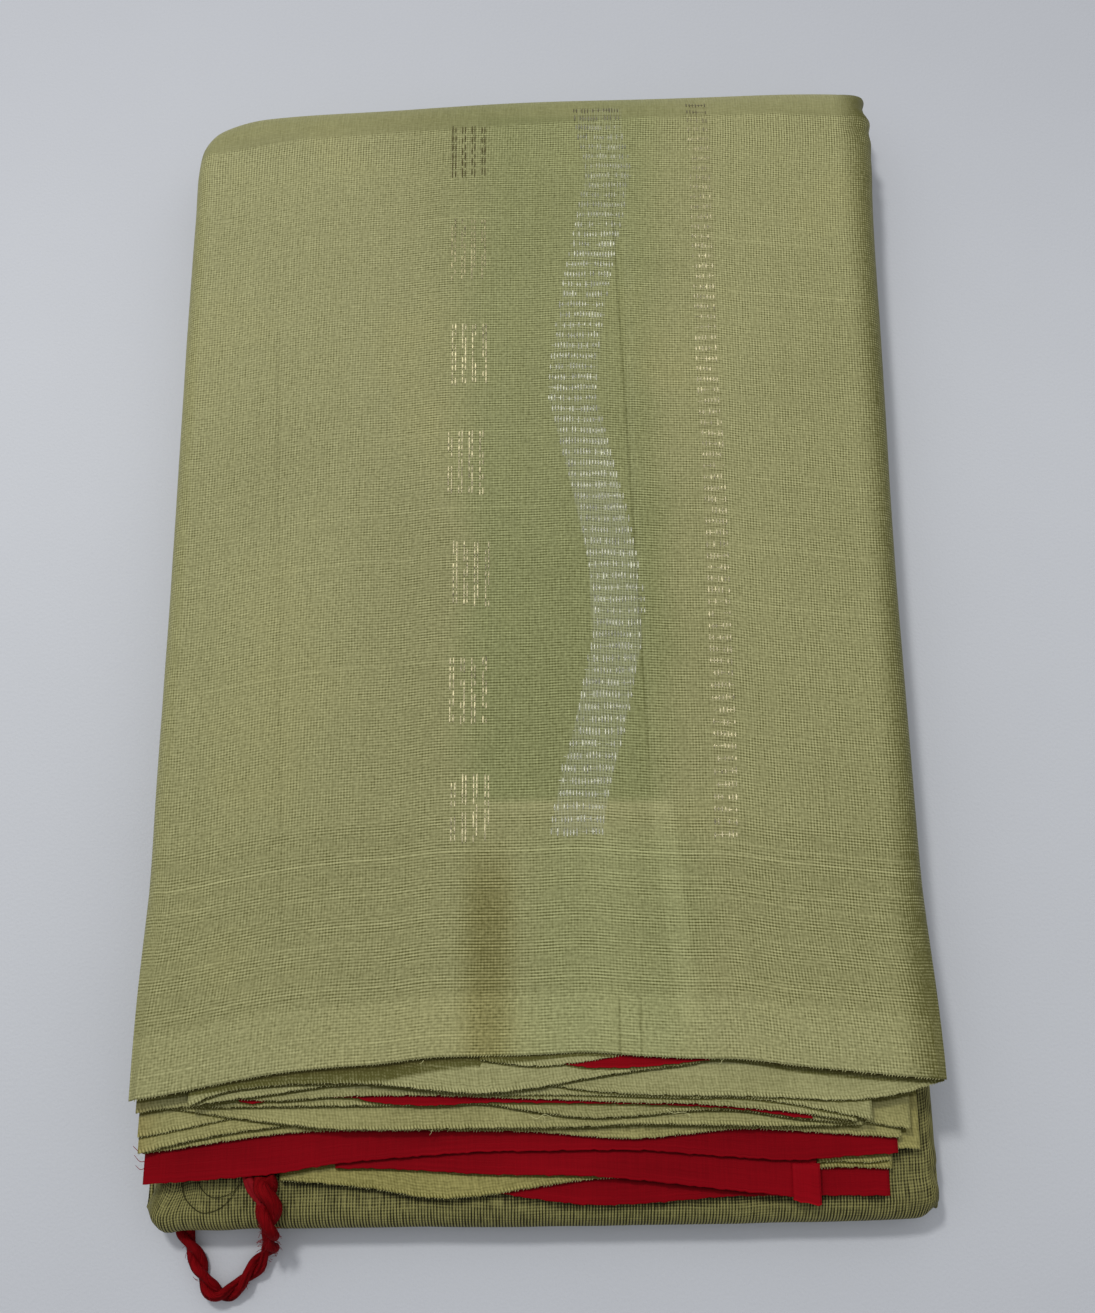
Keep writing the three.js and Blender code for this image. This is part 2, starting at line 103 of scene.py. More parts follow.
# Each leaf: the node it stands for, level, layers, cloth, left, right and free edge.
LEAVES = (
    ("leaf_green_1", 10, 2, OLIVE, -113, 54.5,
     ((-113, 40.3), (-102, 44.5), (-85, 46.7), (-68, 47.3), (-51, 47), (-34, 45.3), (-17, 44.3),
      (0, 46), (17, 48.9), (34, 51.4), (51, 53.4), (55, 54.2))),
    ("leaf_green_2", 9, 1, OLIVE, -112, 134.5,
     ((-112, 40.1), (-102, 41.8), (-85, 44), (-68, 46.4), (-51, 47.3), (-34, 47.3), (-17, 47.3),
      (0, 47.2), (17, 45.1), (34, 43.9), (51, 43.5), (68, 43.3), (85, 42.7), (102, 42.1),
      (119, 43.9), (135, 48.2))),
    ("leaf_green_3", 8, 1, OLIVE, -97.5, 105.5,
     ((-97, 42.2), (-85, 41.7), (-68, 42.8), (-51, 43.3), (-34, 43.3), (-17, 42.9), (0, 42.3),
      (17, 41.8), (34, 41.1), (51, 40.9), (68, 39.6), (85, 38.2), (102, 35.9), (106, 35.4))),
    ("leaf_green_4", 7, 2, OLIVE, -131, 103.5,
     ((-136, 36.9), (-119, 39.4), (-102, 39.6), (-85, 39.8), (-68, 40), (-51, 40.2), (-34, 40.4),
      (-17, 40.6), (0, 38.2), (17, 36.4), (34, 37), (51, 38.6), (68, 38.6), (85, 36.3), (102, 35))),
    ("leaf_green_5", 6, 1, OLIVE, -123.4, 108,
     ((-123, 39.2), (-119, 38.9), (-102, 36.5), (-85, 34.5), (-68, 32.8), (-51, 32.4), (-34, 32.7),
      (-17, 33), (0, 33.1), (17, 33.5), (34, 34.3), (51, 34.1), (68, 33.8), (85, 33.7), (108, 34.1))),
    ("leaf_green_6", 5, 2, OLIVE, -130.1, -79,
     ((-130, 24.8), (-119, 27.6), (-102, 31), (-85, 33.2), (-79, 33.8))),
    ("leaf_green_7", 5, 2, OLIVE, 96, 123.9, ((96, 36), (110, 34.6), (124, 32.5))),
    ("leaf_green_8", 4, 2, OLIVE, -128.6, 120.9,
     ((-128.6, 24.8), (-119, 26.1), (-102, 28.6), (-85, 30.8), (-68, 31.8), (-17, 31.8), (0, 31.5),
      (17, 30.2), (34, 29.5), (51, 31), (68, 32.5), (85, 31.9), (102, 30.9), (121, 29.7))),
    ("leaf_red_1", 3, 2, RED, -128.5, 119.9,
     ((-128.5, 15.2), (-119, 15.7), (-102, 16.9), (-85, 18.4), (-68, 21.1), (-51, 22.8), (-34, 24.1),
      (-17, 25.2), (0, 25.4), (34, 25.7), (51, 24.6), (68, 23.4), (85, 22.6), (102, 23.7), (120, 24.8))),
    ("leaf_red_2", 2, 2, RED, -65.8, 93,
     ((-66, 19.8), (-51, 19.8), (-34, 19), (-17, 18.1), (0, 17.8), (17, 17.5), (34, 16.3), (51, 14.6),
      (68, 12.8), (85, 11.1), (93, 9.1))),
    ("leaf_green_9", 2, 2, OLIVE, 98, 127.7, ((98, 26), (128, 26))),
    ("leaf_green_10", 1, 2, OLIVE, -84.3, 118.3,
     ((-85, 16), (-68, 14.9), (-51, 13.1), (-34, 10.6), (-17, 11.4), (0, 13.9), (17, 16.2), (34, 17.3),
      (51, 17.9), (68, 18.5), (85, 19.2), (102, 20.1), (119, 19.6))),
    ("leaf_red_3", 0, 2, RED, -12.5, 117.4,
     ((-12.5, 11.9), (0, 10.1), (17, 8.3), (34, 8.6), (51, 9.9), (68, 11), (118, 11.1))),
)

# Thin plies that peep out between those: name, height of its top, cloth, left, right and free edge.
THIN_PLIES = (
    ("thin_green_1", 29.05, OLIVE, -18, 29, ((-18, 54.6), (0, 52.8), (17, 54.3), (29, 56.3))),
    ("thin_red_1", 28.7, RED, 9.6, 57.6, ((10, 53.3), (17, 52.3), (34, 52.4), (51, 54), (58, 54.7))),
    ("thin_green_2", 26.25, OLIVE, -11.4, 110.3,
     ((-11, 43.5), (0, 43.6), (17, 43.5), (34, 43.1), (51, 42.6), (68, 42.7), (85, 40.7), (102, 37.6),
      (111, 35.8))),
    ("thin_red_2", 24.95, RED, -97.2, 91,
     ((-97, 41.2), (-91, 40.8), (-86, 42.2), (-61, 42.6), (-51, 40.9), (-34, 40.1), (-17, 41),
      (0, 41), (17, 40.8), (34, 40.6), (51, 40), (68, 38.9), (85, 36.7), (91, 36.1))),
    ("thin_green_3", 22.35, OLIVE, -130.4, -96.8, ((-130.4, 29.9), (-119, 32), (-102, 35.5), (-96, 36.6))),
    ("thin_green_4", 17.25, OLIVE, 93.5, 118.2, ((93.5, 21.5), (100, 22.1), (109, 21.6), (118.2, 22.4))),
)

# Pale weft threads that run across the top panel: how far in from its free edge, from and to X, strength.
PALE_THREADS = (
    (24.4, -130, 130, 0.10), (66.6, -130, 134, 0.20), (70.4, 40, 134, 0.12), (51.5, 40, 130, 0.12),
    (134.5, -118, -20, 0.12), (174.0, -112, -30, 0.10), (157.5, 62, 128, 0.12), (179.5, 70, 128, 0.12),
    (206.5, 76, 128, 0.12), (284.0, 72, 128, 0.14), (109.0, 20, 112, 0.08), (222.0, -60, 20, 0.08),
)

# Loose threads: colour, half thickness and the points they run through.
LOOSE_THREADS = (
    ("brown", 0.19, ((-116.9, -201.0, 14.6), (-116.4, -203.6, 14.5), (-114.9, -206.7, 14.5),
                     (-110.0, -210.3, 14.2), (-104.2, -209.1, 14.3), (-100.2, -205.4, 14.5),
                     (-98.4, -202.0, 14.6), (-97.2, -199.5, 14.7))),
    ("brown", 0.17, ((-111.6, -200.6, 14.6), (-110.0, -203.4, 14.5), (-106.8, -205.5, 14.5),
                     (-102.8, -205.2, 14.5), (-99.0, -203.2, 14.6), (-96.6, -200.4, 14.7))),
    ("red", 0.16, ((-127.6, -191.8, 18.9), (-130.4, -191.0, 18.8), (-133.0, -189.2, 18.2))),
    ("red", 0.14, ((-127.4, -193.6, 18.9), (-130.0, -193.9, 18.8), (-132.3, -192.0, 18.3))),
    ("red", 0.14, ((-127.6, -195.4, 18.9), (-129.6, -196.4, 18.8), (-131.6, -195.2, 18.2))),
    ("green", 0.12, ((-1.5, -179.0, 24.6), (0.8, -179.9, 24.8), (3.2, -178.6, 25.0),
                     (5.9, -179.6, 24.8))),
    ("green", 0.10, ((2.6, -178.8, 24.7), (3.4, -180.2, 24.6), (3.0, -181.2, 24.3))),
    ("green", 0.12, ((43.2, -177.0, 24.6), (45.4, -178.2, 24.8), (48.6, -177.9, 25.0),
                     (51.2, -178.8, 24.7))),
    ("green", 0.10, ((50.4, -178.4, 24.7), (51.0, -179.4, 24.6), (50.2, -180.2, 24.3))),
    ("green", 0.10, ((-33.6, -183.4, 22.6), (-34.0, -184.6, 22.5), (-34.6, -185.3, 22.0))),
    ("green", 0.10, ((61.4, -161.2, 29.9), (61.0, -162.2, 29.7), (60.4, -162.7, 29.1))),
    ("green", 0.10, ((-36.4, -161.4, 29.9), (-37.0, -162.3, 29.7), (-37.8, -162.5, 29.2))),
)

# ------------------------------------------------------------------ marks woven into the top panel

# The silver band's middle: Y, then X.
BAND_MIDDLE = (
    (-87, 14.3), (-81.2, 14.9), (-71.1, 17), (-61, 19), (-55, 21.4), (-46.4, 23.6), (-36, 25.5),
    (-25.4, 27.4), (-18.7, 29.2), (-4.2, 30.2), (11.4, 27.9), (28.8, 25), (51.8, 19.3), (72.5, 14.6),
    (75.4, 13.5), (97.1, 14.9), (114.1, 17.5), (131.5, 20.3), (150.5, 24), (163.5, 26.3),
    (172.6, 28.3), (181.8, 27.4), (191.1, 25.1), (201.9, 23.6),
)
BAND_WIDTH = 17.6
ROW_PITCH = 4.4
BAND_FOOT = -87.0
BAND_HEAD = 205.0
# The gold column at the right: Y, then its middle.
COLUMN_MIDDLE = (
    (-88, 65.4), (-55, 66.3), (-22.4, 66), (11.4, 66.2), (62.7, 65.8), (75, 64.9), (120, 64.6),
    (173.1, 64.6), (207.6, 64.1),
)
COLUMN_WIDTH = 7.4
COLUMN_LEFT = 61.5
COLUMN_RIGHT = 69.5
COLUMN_FOOT = -88.0
COLUMN_HEAD = 208.0
# The small gold motifs: lowest Y, highest Y and X of the middle. The first, at the head, is dark.
MOTIFS = (
    (173.6, 193.4, -27.2), (127.1, 151.4, -26.6), (82.8, 105.5, -25.6), (38.3, 61.1, -26.2),
    (-4.6, 17.2, -23.5), (-47.5, -26.5, -23.9), (-88.7, -68.4, -22.6),
)
# The double lines of a motif: X from its middle.
MOTIF_LINES = (-6.4, -5.2, -2.5, -1.4, 1.3, 2.4, 5.3, 6.4)
MOTIF_LEAN = 0.012
# Beyond this Y the metal thread is painted dark, and it is dimmer over a stretch before it: first for the
# silver and gold marks, where the dark lies on the head fold and is painted shade, then for the motifs.
ZARI_DARK_FROM = 190
MOTIF_DARK_FROM = 158

# ------------------------------------------------------------------ lines and tints of the top panel

# Where the smooth round of the head fold begins: X, then Y.
HEAD_BAND = (
    (-125, 183), (-97, 189), (-56, 192.4), (-10, 196), (42, 199.7), (94, 201.5), (119, 200.3),
)
# Folds and seams whose shade is painted as dark lines: left and right at Y 0, their lean, their soft width,
# from and to Y, the length of their soft ends, strength.
FOLD_SHADE_LINES = (
    (36.3, 37.2, 0.045, 0.4, -60, 172, 20, 0.18),
    (-93.35, -92.25, 0.062, 0.4, -145, 117, 25, 0.06),
    (27.6, 28.4, 0, 0.3, -161, -141, 3, 0.26),
    (34.7, 35.5, 0, 0.3, -161, -141, 3, 0.24),
)
# The patch that shows through the panel ends here towards the foot.
PATCH_FOOT = -76
# The plain border along the free edge, and the ribbed stretch after it, along the cloth.
BORDER_WIDTH = 20.2
RIBBED_TO = 79.0

# The cloth's soft waves: how fast each turns with X and with Y, its start, its share of a seed, height.
WAVES = (
    (0.046, 0.013, 1.3, 1.0, 0.34), (-0.021, 0.038, 0.4, -1.7, 0.30), (0.083, -0.031, 2.1, 2.3, 0.20),
    (0.131, 0.067, 4.4, -0.9, 0.10), (-0.052, 0.142, 5.2, 1.1, 0.06),
)
# Creases of the top panel: line, half width and depth as a share of the sharpest.
CREASES = (
    (((32.2, 170), (34.5, 117), (34.1, 46.6), (37.4, -11.3), (38.9, -40.7), (40.5, -72)), 1.3, 1.0),
    (((36.0, 150), (38.0, 60), (41.0, -30)), 5.0, -0.5),
    (((28.2, -139), (28, -159)), 0.9, 0.9),
    (((35.2, -139), (34.9, -159)), 0.9, 0.9),
    (((-15.5, -84), (-15, -120), (-15, -158)), 7.0, 1.7),
    (((-29, -90), (-28, -158)), 8.0, -0.8),
    (((-100, 117), (-92, -10), (-83.5, -142)), 1.6, 0.45),
    (((-57, 190), (-56, 60), (-58, -60)), 2.2, 0.3),
    (((47.2, -76), (51.4, -150)), 2.4, -0.9),
    (((28, -78), (30, -136)), 5.0, -0.6),
    (((-24, -76), (45, -77)), 2.2, 0.6),
    (((-129, -40), (-60, -33), (10, -39), (90, -47)), 6.0, 0.35),
    (((-120, 176), (-40, 183), (60, 190), (130, 192)), 7.0, 0.8),
    (((112, 150), (118, 20), (122, -120)), 9.0, 0.7),
    (((-118, 150), (-120, 20), (-116, -110)), 9.0, 0.6),
)

# ------------------------------------------------------------------ the cord

# The cord's middle line, from its exit under the wide red leaf to its end under the foot fold.
CORD_ROUTE = (
    (-89.3, -198.9, 17.4), (-88.4, -202.2, 17.4), (-87.5, -205.6, 17.4), (-87, -209.2, 17.4),
    (-86.8, -213, 16.7), (-86.8, -216.5, 14.5), (-87, -219, 11.2), (-87.6, -221, 7.6),
    (-88.8, -223.2, 4.6), (-90.8, -225.8, 3.3), (-93.3, -228.9, 3.1), (-96.1, -232, 3.1),
    (-99, -234.9, 3.1), (-102.2, -237.2, 3.1), (-105.5, -237.5, 3.1), (-108.3, -235.6, 3.1),
    (-110.3, -232.6, 3.1), (-112, -229.2, 3.1), (-113.7, -225.8, 3.1), (-115.5, -222.4, 3.1),
    (-117.2, -219.3, 3.1), (-118.4, -216.8, 3.1),
)

# ------------------------------------------------------------------ settings


class ClothSettings(PropertyGroup):
    """The silk's sizes and colours."""

    ply: FloatProperty(
        name="Ply", description="Thickness of one ply", default=0.0004, unit="LENGTH")
    crease_depth: FloatProperty(
        name="Crease depth", description="Depth of the sharpest crease", default=0.0004, unit="LENGTH")
    swell: FloatProperty(
        name="Swell", description="Height of the cloth's soft waves", default=0.0005, unit="LENGTH")
    olive_light: FloatVectorProperty(
        name="Olive, lit threads", description="Colour of the raised olive threads",
        default=(0.420, 0.408, 0.196), subtype="COLOR", min=0, max=1)
    olive_dark: FloatVectorProperty(
        name="Olive, gaps", description="Colour between the olive threads",
        default=(0.080, 0.076, 0.016), subtype="COLOR", min=0, max=1)
    foot_light: FloatVectorProperty(
        name="Foot fold, lit threads", description="Colour of the foot fold's raised threads",
        default=(0.250, 0.232, 0.082), subtype="COLOR", min=0, max=1)
    foot_dark: FloatVectorProperty(
        name="Foot fold, gaps", description="Colour between the foot fold's threads",
        default=(0.016, 0.014, 0.003), subtype="COLOR", min=0, max=1)
    red: FloatVectorProperty(
        name="Red", description="Colour of the red end",
        default=(0.185, 0.0016, 0.0048), subtype="COLOR", min=0, max=1)


class ZariSettings(PropertyGroup):
    """The metal thread's sizes and colours."""

    dash_pitch: FloatProperty(
        name="Dash pitch", description="From one dash to the next across a row", default=0.0011,
        unit="LENGTH")
    dash_length: FloatProperty(
        name="Dash length", description="Length of a dash", default=0.0029, unit="LENGTH")
    dash_width: FloatProperty(
        name="Dash width", description="Width of a dash", default=0.00050, unit="LENGTH")
    seed: IntProperty(name="Seed", description="Picks which dashes are missing", default=7)
    silver: FloatVectorProperty(
        name="Silver", description="Colour of the silver thread", default=(0.70, 0.70, 0.53),
        subtype="COLOR", min=0, max=1)
    gold: FloatVectorProperty(
        name="Gold", description="Colour of the gold thread", default=(0.80, 0.72, 0.42),
        subtype="COLOR", min=0, max=1)


class CordSettings(PropertyGroup):
    """The twisted cord."""

    thickness: FloatProperty(
        name="Thickness", description="Across both strands", default=0.0058, unit="LENGTH")
    twist: FloatProperty(
        name="Twist", description="Length of one whole turn", default=0.020, unit="LENGTH")
    red: FloatVectorProperty(
        name="Red", description="Colour of the thread", default=(0.165, 0.0012, 0.0028),
        subtype="COLOR", min=0, max=1)


class StageSettings(PropertyGroup):
    """The floor and the light."""

    floor: FloatVectorProperty(
        name="Floor", description="Colour of the floor", default=(0.50, 0.515, 0.545),
        subtype="COLOR", min=0, max=1)
    ambient: FloatProperty(name="Ambient", description="Light from all round", default=0.735, min=0)
    key: FloatProperty(name="Key", description="Power of the lamp overhead", default=11.2, min=0)


# ------------------------------------------------------------------ reading the tables


def read(rows, at, column=1):
    """A smooth line through a table's rows, read at one place or at an array of places."""
    table = np.array([(row[0], row[column]) for row in rows], float)
    key, value = table[:, 0], table[:, 1]
    at = np.clip(np.asarray(at, float), key[0], key[-1])
    i = np.clip(np.searchsorted(key, at, side="right") - 1, 0, len(key) - 2)
    order = np.arange(len(key))
    before, after = np.maximum(order - 1, 0), np.minimum(order + 1, len(key) - 1)
    slope = (value[after] - value[before]) / (key[after] - key[before])
    span = key[i + 1] - key[i]
    t = (at - key[i]) / span
    return (
        (2 * t**3 - 3 * t**2 + 1) * value[i]
        + (t**3 - 2 * t**2 + t) * slope[i] * span
        + (3 * t**2 - 2 * t**3) * value[i + 1]
        + (t**3 - t**2) * slope[i + 1] * span
    )


def left_at(y):
    """X of the pack's left side."""
    return read(SIDES, y, 1)


def right_at(y):
    """X of the pack's right side."""
    return read(SIDES, y, 2)


def share_at(x, y):
    """How far across the pack a place lies: 0 at its left side and 1 at its right side."""
    left, right = left_at(y), right_at(y)
    return (x - left) / (right - left)


def head_at(x):
    """Y of the head line."""
    return read(HEAD, share_at(x, HEAD_WIDTH_AT))


def foot_at(x):
    """Y of the foot line."""
    return read(FOOT, share_at(x, FOOT_WIDTH_AT))


def top_of(level):
    """The height of the top of a leaf at one level of the fan."""
    return FOOT_TOP + (level + 1) * LEVEL_STEP


def turn_at(y):
    """How far the top panel's sides turn down, in radians."""
    return np.radians(read(SIDE_TURN, y))


def smooth(value, low, high):
    """0 at low, 1 at high, and smooth between them."""
    t = np.clip((value - low) / (high - low), 0, 1)
    return t * t * (3 - 2 * t)


def hump(value, middle, width):
    """1 at the middle, falling away smoothly to both sides."""
    return np.exp(-(((value - middle) / width) ** 2))


def swell_at(x, y, seed=0.0):
    """Soft waves of the cloth, from -1 to 1."""
    x, y = np.asarray(x, float), np.asarray(y, float)
    return sum(
        height * np.sin(with_x * x + with_y * y + start + with_seed * seed)
        for with_x, with_y, start, with_seed, height in WAVES)


def trough(x, y, line, half_width, depth):
    """A soft trough along a line of points, or a ridge where the depth is negative."""
    x, y = np.asarray(x, float), np.asarray(y, float)
    nearest = np.full(np.broadcast(x, y).shape, 1e9)
    for (x0, y0), (x1, y1) in zip(line, line[1:]):
        length2 = (x1 - x0) ** 2 + (y1 - y0) ** 2
        t = np.clip(((x - x0) * (x1 - x0) + (y - y0) * (y1 - y0)) / length2, 0, 1)
        nearest = np.minimum(nearest, np.hypot(x - x0 - t * (x1 - x0), y - y0 - t * (y1 - y0)))
    return -depth * hump(nearest, 0, half_width)


def panel_relief(x, y, cloth):
    """How far the top panel stands above its flat form, in millimetres."""
    depth = cloth.crease_depth / MM
    height = swell_at(x, y) * cloth.swell / MM
    for line, half_width, share in CREASES:
        height = height + trough(x, y, line, half_width, depth * share)
    return height


FAN_WAVE = 0.22
FOOT_SHADE_REACH = 3.0


def fan_lift(x, y):
    """The wave that the plies of the fan share, in millimetres, fading towards the back."""
    front = smooth(np.asarray(y, float), LEAF_BACK + 10, LEAF_BACK - 25)
    return FAN_WAVE * swell_at(x * 1.4, y * 2, 1.0) * front


def under_edges(x, y, top):
    """How far a point lies in below the free edge over it: -1 where its shade begins, 0 at the edge."""
    lowest = FOOT_LINE + read(PANEL_EDGE, x)
    # The panel's edge stands off most left of its middle, and its shade reaches furthest there.
    reach = 1.3 + 5.4 * hump(x, -55, 42) + 1.6 * hump(x, 100, 30)
    plies = [
        (top_of(level), left, right, edge)
        for name, level, layers, cloth_name, left, right, edge in LEAVES]
    plies += [
        (height, left, right, edge) for name, height, cloth_name, left, right, edge in THIN_PLIES]
    for height, left, right, edge in plies:
        if height > top + 0.1:
            free = FOOT_LINE + read(edge, x)
            nearer = (x > left) & (x < right) & (free < lowest)
            lowest = np.where(nearer, free, lowest)
            reach = np.where(nearer, 0.75 + 0.35 * (height - top), reach)
    return (y - lowest) / (reach if top > FOOT_TOP else FOOT_SHADE_REACH)


# ------------------------------------------------------------------ mesh work


def make_object(name, points, faces, cloth_at=None, materials=(), under=None):
    """A mesh object from points in millimetres and faces, with a UV map in metres of cloth.

    under tells how far each point lies in below the free edge over it."""
    mesh = bpy.data.meshes.new(name)
    points = np.asarray(points, float) * MM
    mesh.from_pydata(points.tolist(), [], [list(map(int, face)) for face in faces])
    if cloth_at is not None:
        layer = mesh.uv_layers.new(name=UV_NAME)
        corner = np.zeros(len(mesh.loops), np.int32)
        mesh.loops.foreach_get("vertex_index", corner)
        layer.data.foreach_set("uv", (np.asarray(cloth_at, float)[corner] * MM).astype(np.float32).ravel())
    if under is not None:
        mesh.attributes.new(UNDER_NAME, "FLOAT", "POINT").data.foreach_set(
            "value", np.tile(np.ravel(under), 2).astype(np.float32))
    mesh.polygons.foreach_set("use_smooth", np.ones(len(mesh.polygons), bool))
    for material in materials:
        mesh.materials.append(material)
    mesh.update()
    made = bpy.data.objects.new(name, mesh)
    bpy.context.scene.collection.objects.link(made)
    return made


def outward(grid):
    """The direction out of a grid of points at each of them: columns first, then rows."""
    normal = np.cross(np.gradient(grid, axis=1), np.gradient(grid, axis=0))
    return normal / np.maximum(np.linalg.norm(normal, axis=2, keepdims=True), 1e-9)


def shell(outer, cloth_at, ply):
    """The closed shell inside a grid of outer points: rows run so that column x row points out."""
    rows, columns = outer.shape[:2]
    inner = outer - ply * outward(outer)
    count = rows * columns
    index = np.arange(count).reshape(rows, columns)
    a, b, c, d = index[:-1, :-1], index[:-1, 1:], index[1:, 1:], index[1:, :-1]
    top = np.stack([a, b, c, d], -1).reshape(-1, 4)
    under = np.stack([a, d, c, b], -1).reshape(-1, 4) + count
    rim = np.concatenate([index[0, :], index[1:, -1], index[-1, -2::-1], index[-2:0:-1, 0]])
    following = np.roll(rim, -1)
    side = np.stack([rim, rim + count, following + count, following], -1)
    points = np.concatenate([outer.reshape(-1, 3), inner.reshape(-1, 3)])
    flat = cloth_at.reshape(-1, 2)
    return points, np.concatenate([top, under, side]), np.concatenate([flat, flat])


def run_length(points):
    """How far along a line each of its points lies."""
    return np.concatenate([[0], np.cumsum(np.linalg.norm(np.diff(points, axis=0), axis=1))])


def ring_walls(count, sides):
    """The numbers of the points on some rings, those one place further round, and the walls between."""
    index = np.arange(count * sides).reshape(count, sides)
    further = np.roll(index, -1, axis=1)
    walls = np.stack([index[:-1], further[:-1], further[1:], index[1:]], -1)
    return index, further, walls.reshape(-1, 4).tolist()


def travel_frames(points):
    """A direction across a line of points at each of them, turning as little as it can."""
    ahead = np.gradient(points, axis=0)
    ahead /= np.linalg.norm(ahead, axis=1, keepdims=True)
    across = np.zeros_like(points)
    start = np.array([0.0, 0.0, 1.0])
    across[0] = start - ahead[0] * (start @ ahead[0])
    across[0] /= np.linalg.norm(across[0])
    for k in range(1, len(points)):
        moved = across[k - 1] - ahead[k] * (across[k - 1] @ ahead[k])
        across[k] = moved / np.linalg.norm(moved)
    return across, np.cross(ahead, across)


def tube(points, wide, high, sides):
    """A closed tube along a line: wide is its half width, high its half height at each point."""
    points = np.asarray(points, float)
    up, side = travel_frames(points)
    wide = np.broadcast_to(np.asarray(wide, float), len(points))
    high = np.broadcast_to(np.asarray(high, float), len(points))
    angle = np.linspace(0, 2 * math.pi, sides, endpoint=False)
    rings = (
        points[:, None]
        + side[:, None] * (wide[:, None] * np.cos(angle))[..., None]
        + up[:, None] * (high[:, None] * np.sin(angle))[..., None]
    )
    count = len(points)
    vertices = np.concatenate([rings.reshape(-1, 3), points[:1], points[-1:]])
    index, further, faces = ring_walls(count, sides)
    first, last = count * sides, count * sides + 1
    faces += [[first, b, a] for a, b in zip(index[0], further[0])]
    faces += [[last, a, b] for a, b in zip(index[-1], further[-1])]
    step = run_length(points)
    around = (wide[:, None] + high[:, None]) / 2 * angle[None, :]
    cloth_at = np.stack([around, np.repeat(step[:, None], sides, 1)], -1).reshape(-1, 2)
    return vertices, faces, np.concatenate([cloth_at, [[0, 0], [0, step[-1]]]])


def joined(parts):
    """Several bodies' points, faces and cloth places as one."""
    points, faces, cloth_at, start = [], [], [], 0
    for part_points, part_faces, part_cloth in parts:
        points.append(part_points)
        faces += [[int(i) + start for i in face] for face in part_faces]
        cloth_at.append(part_cloth)
        start += len(part_points)
    return np.concatenate(points), faces, np.concatenate(cloth_at)


def smooth_line(points, step):
    """A Catmull-Rom line through the points, spaced about step apart."""
    points = np.asarray(points, float)
    padded = np.concatenate([[2 * points[0] - points[1]], points, [2 * points[-1] - points[-2]]])
    line = []
    for k in range(len(points) - 1):
        p0, p1, p2, p3 = padded[k:k + 4]
        for t in np.linspace(0, 1, 12, endpoint=False):
            line.append(0.5 * (
                2 * p1 + (p2 - p0) * t + (2 * p0 - 5 * p1 + 4 * p2 - p3) * t**2
                + (3 * p1 - p0 - 3 * p2 + p3) * t**3))
    line.append(points[-1])
    line = np.array(line)
    far = run_length(line)
    wanted = np.linspace(0, far[-1], max(3, round(far[-1] / step) + 1))
    return np.stack([np.interp(wanted, far, line[:, k]) for k in range(3)], -1)


# ------------------------------------------------------------------ node work


class NodeWork:
    """Adds nodes to one tree."""

    def __init__(self, tree):
        self.tree = tree

    def node(self, kind, inputs=None, stops=None, **settings):
        """One node: its settings and ramp stops first, then the values or links of its sockets."""
        made = self.tree.nodes.new(kind)
        for name, value in settings.items():
            setattr(made, name, value)
        if stops:
            ramp = made.color_ramp
            while len(ramp.elements) < len(stops):
                ramp.elements.new(0.5)
            for element, (position, grey) in zip(ramp.elements, stops):
                element.position = position
                element.color = (grey, grey, grey, 1)
        for key, value in (inputs or {}).items():
            value = value.socket if isinstance(value, Field) else value
            if isinstance(value, bpy.types.NodeSocket):
                self.tree.links.new(value, made.inputs[key])
            else:
                made.inputs[key].default_value = value
        return made


class Field:
    """A number that changes over a surface. Arithmetic on it adds Math nodes."""

    def __init__(self, paint, socket):
        self.paint = paint
        self.socket = socket

    def __add__(self, other):
        return self.paint.math("ADD", self, other)

    __radd__ = __add__

    def __sub__(self, other):
        return self.paint.math("SUBTRACT", self, other)

    def __rsub__(self, other):
        return self.paint.math("SUBTRACT", other, self)

    def __mul__(self, other):
        return self.paint.math("MULTIPLY", self, other)

    __rmul__ = __mul__

    def __truediv__(self, other):
        return self.paint.math("DIVIDE", self, other)

    def sine(self):
        return self.paint.math("SINE", self)

    def whole(self):
        return self.paint.math("FLOOR", self)

    def size(self):
        return self.paint.math("ABSOLUTE", self)

    def rise(self, low, high):
        """0 below low, 1 above high, and smooth between them."""
        ranged = self.paint.node(
            "ShaderNodeMapRange", {"Value": self, "From Min": low, "From Max": high},
            interpolation_type="SMOOTHSTEP")
        return Field(self.paint, ranged.outputs["Result"])


SURFACE_SOCKETS = {
    "specular_ior_level": "Specular IOR Level",
    "sheen_weight": "Sheen Weight",
    "sheen_roughness": "Sheen Roughness",
    "sheen_tint": "Sheen Tint",
    "metallic": "Metallic",
}


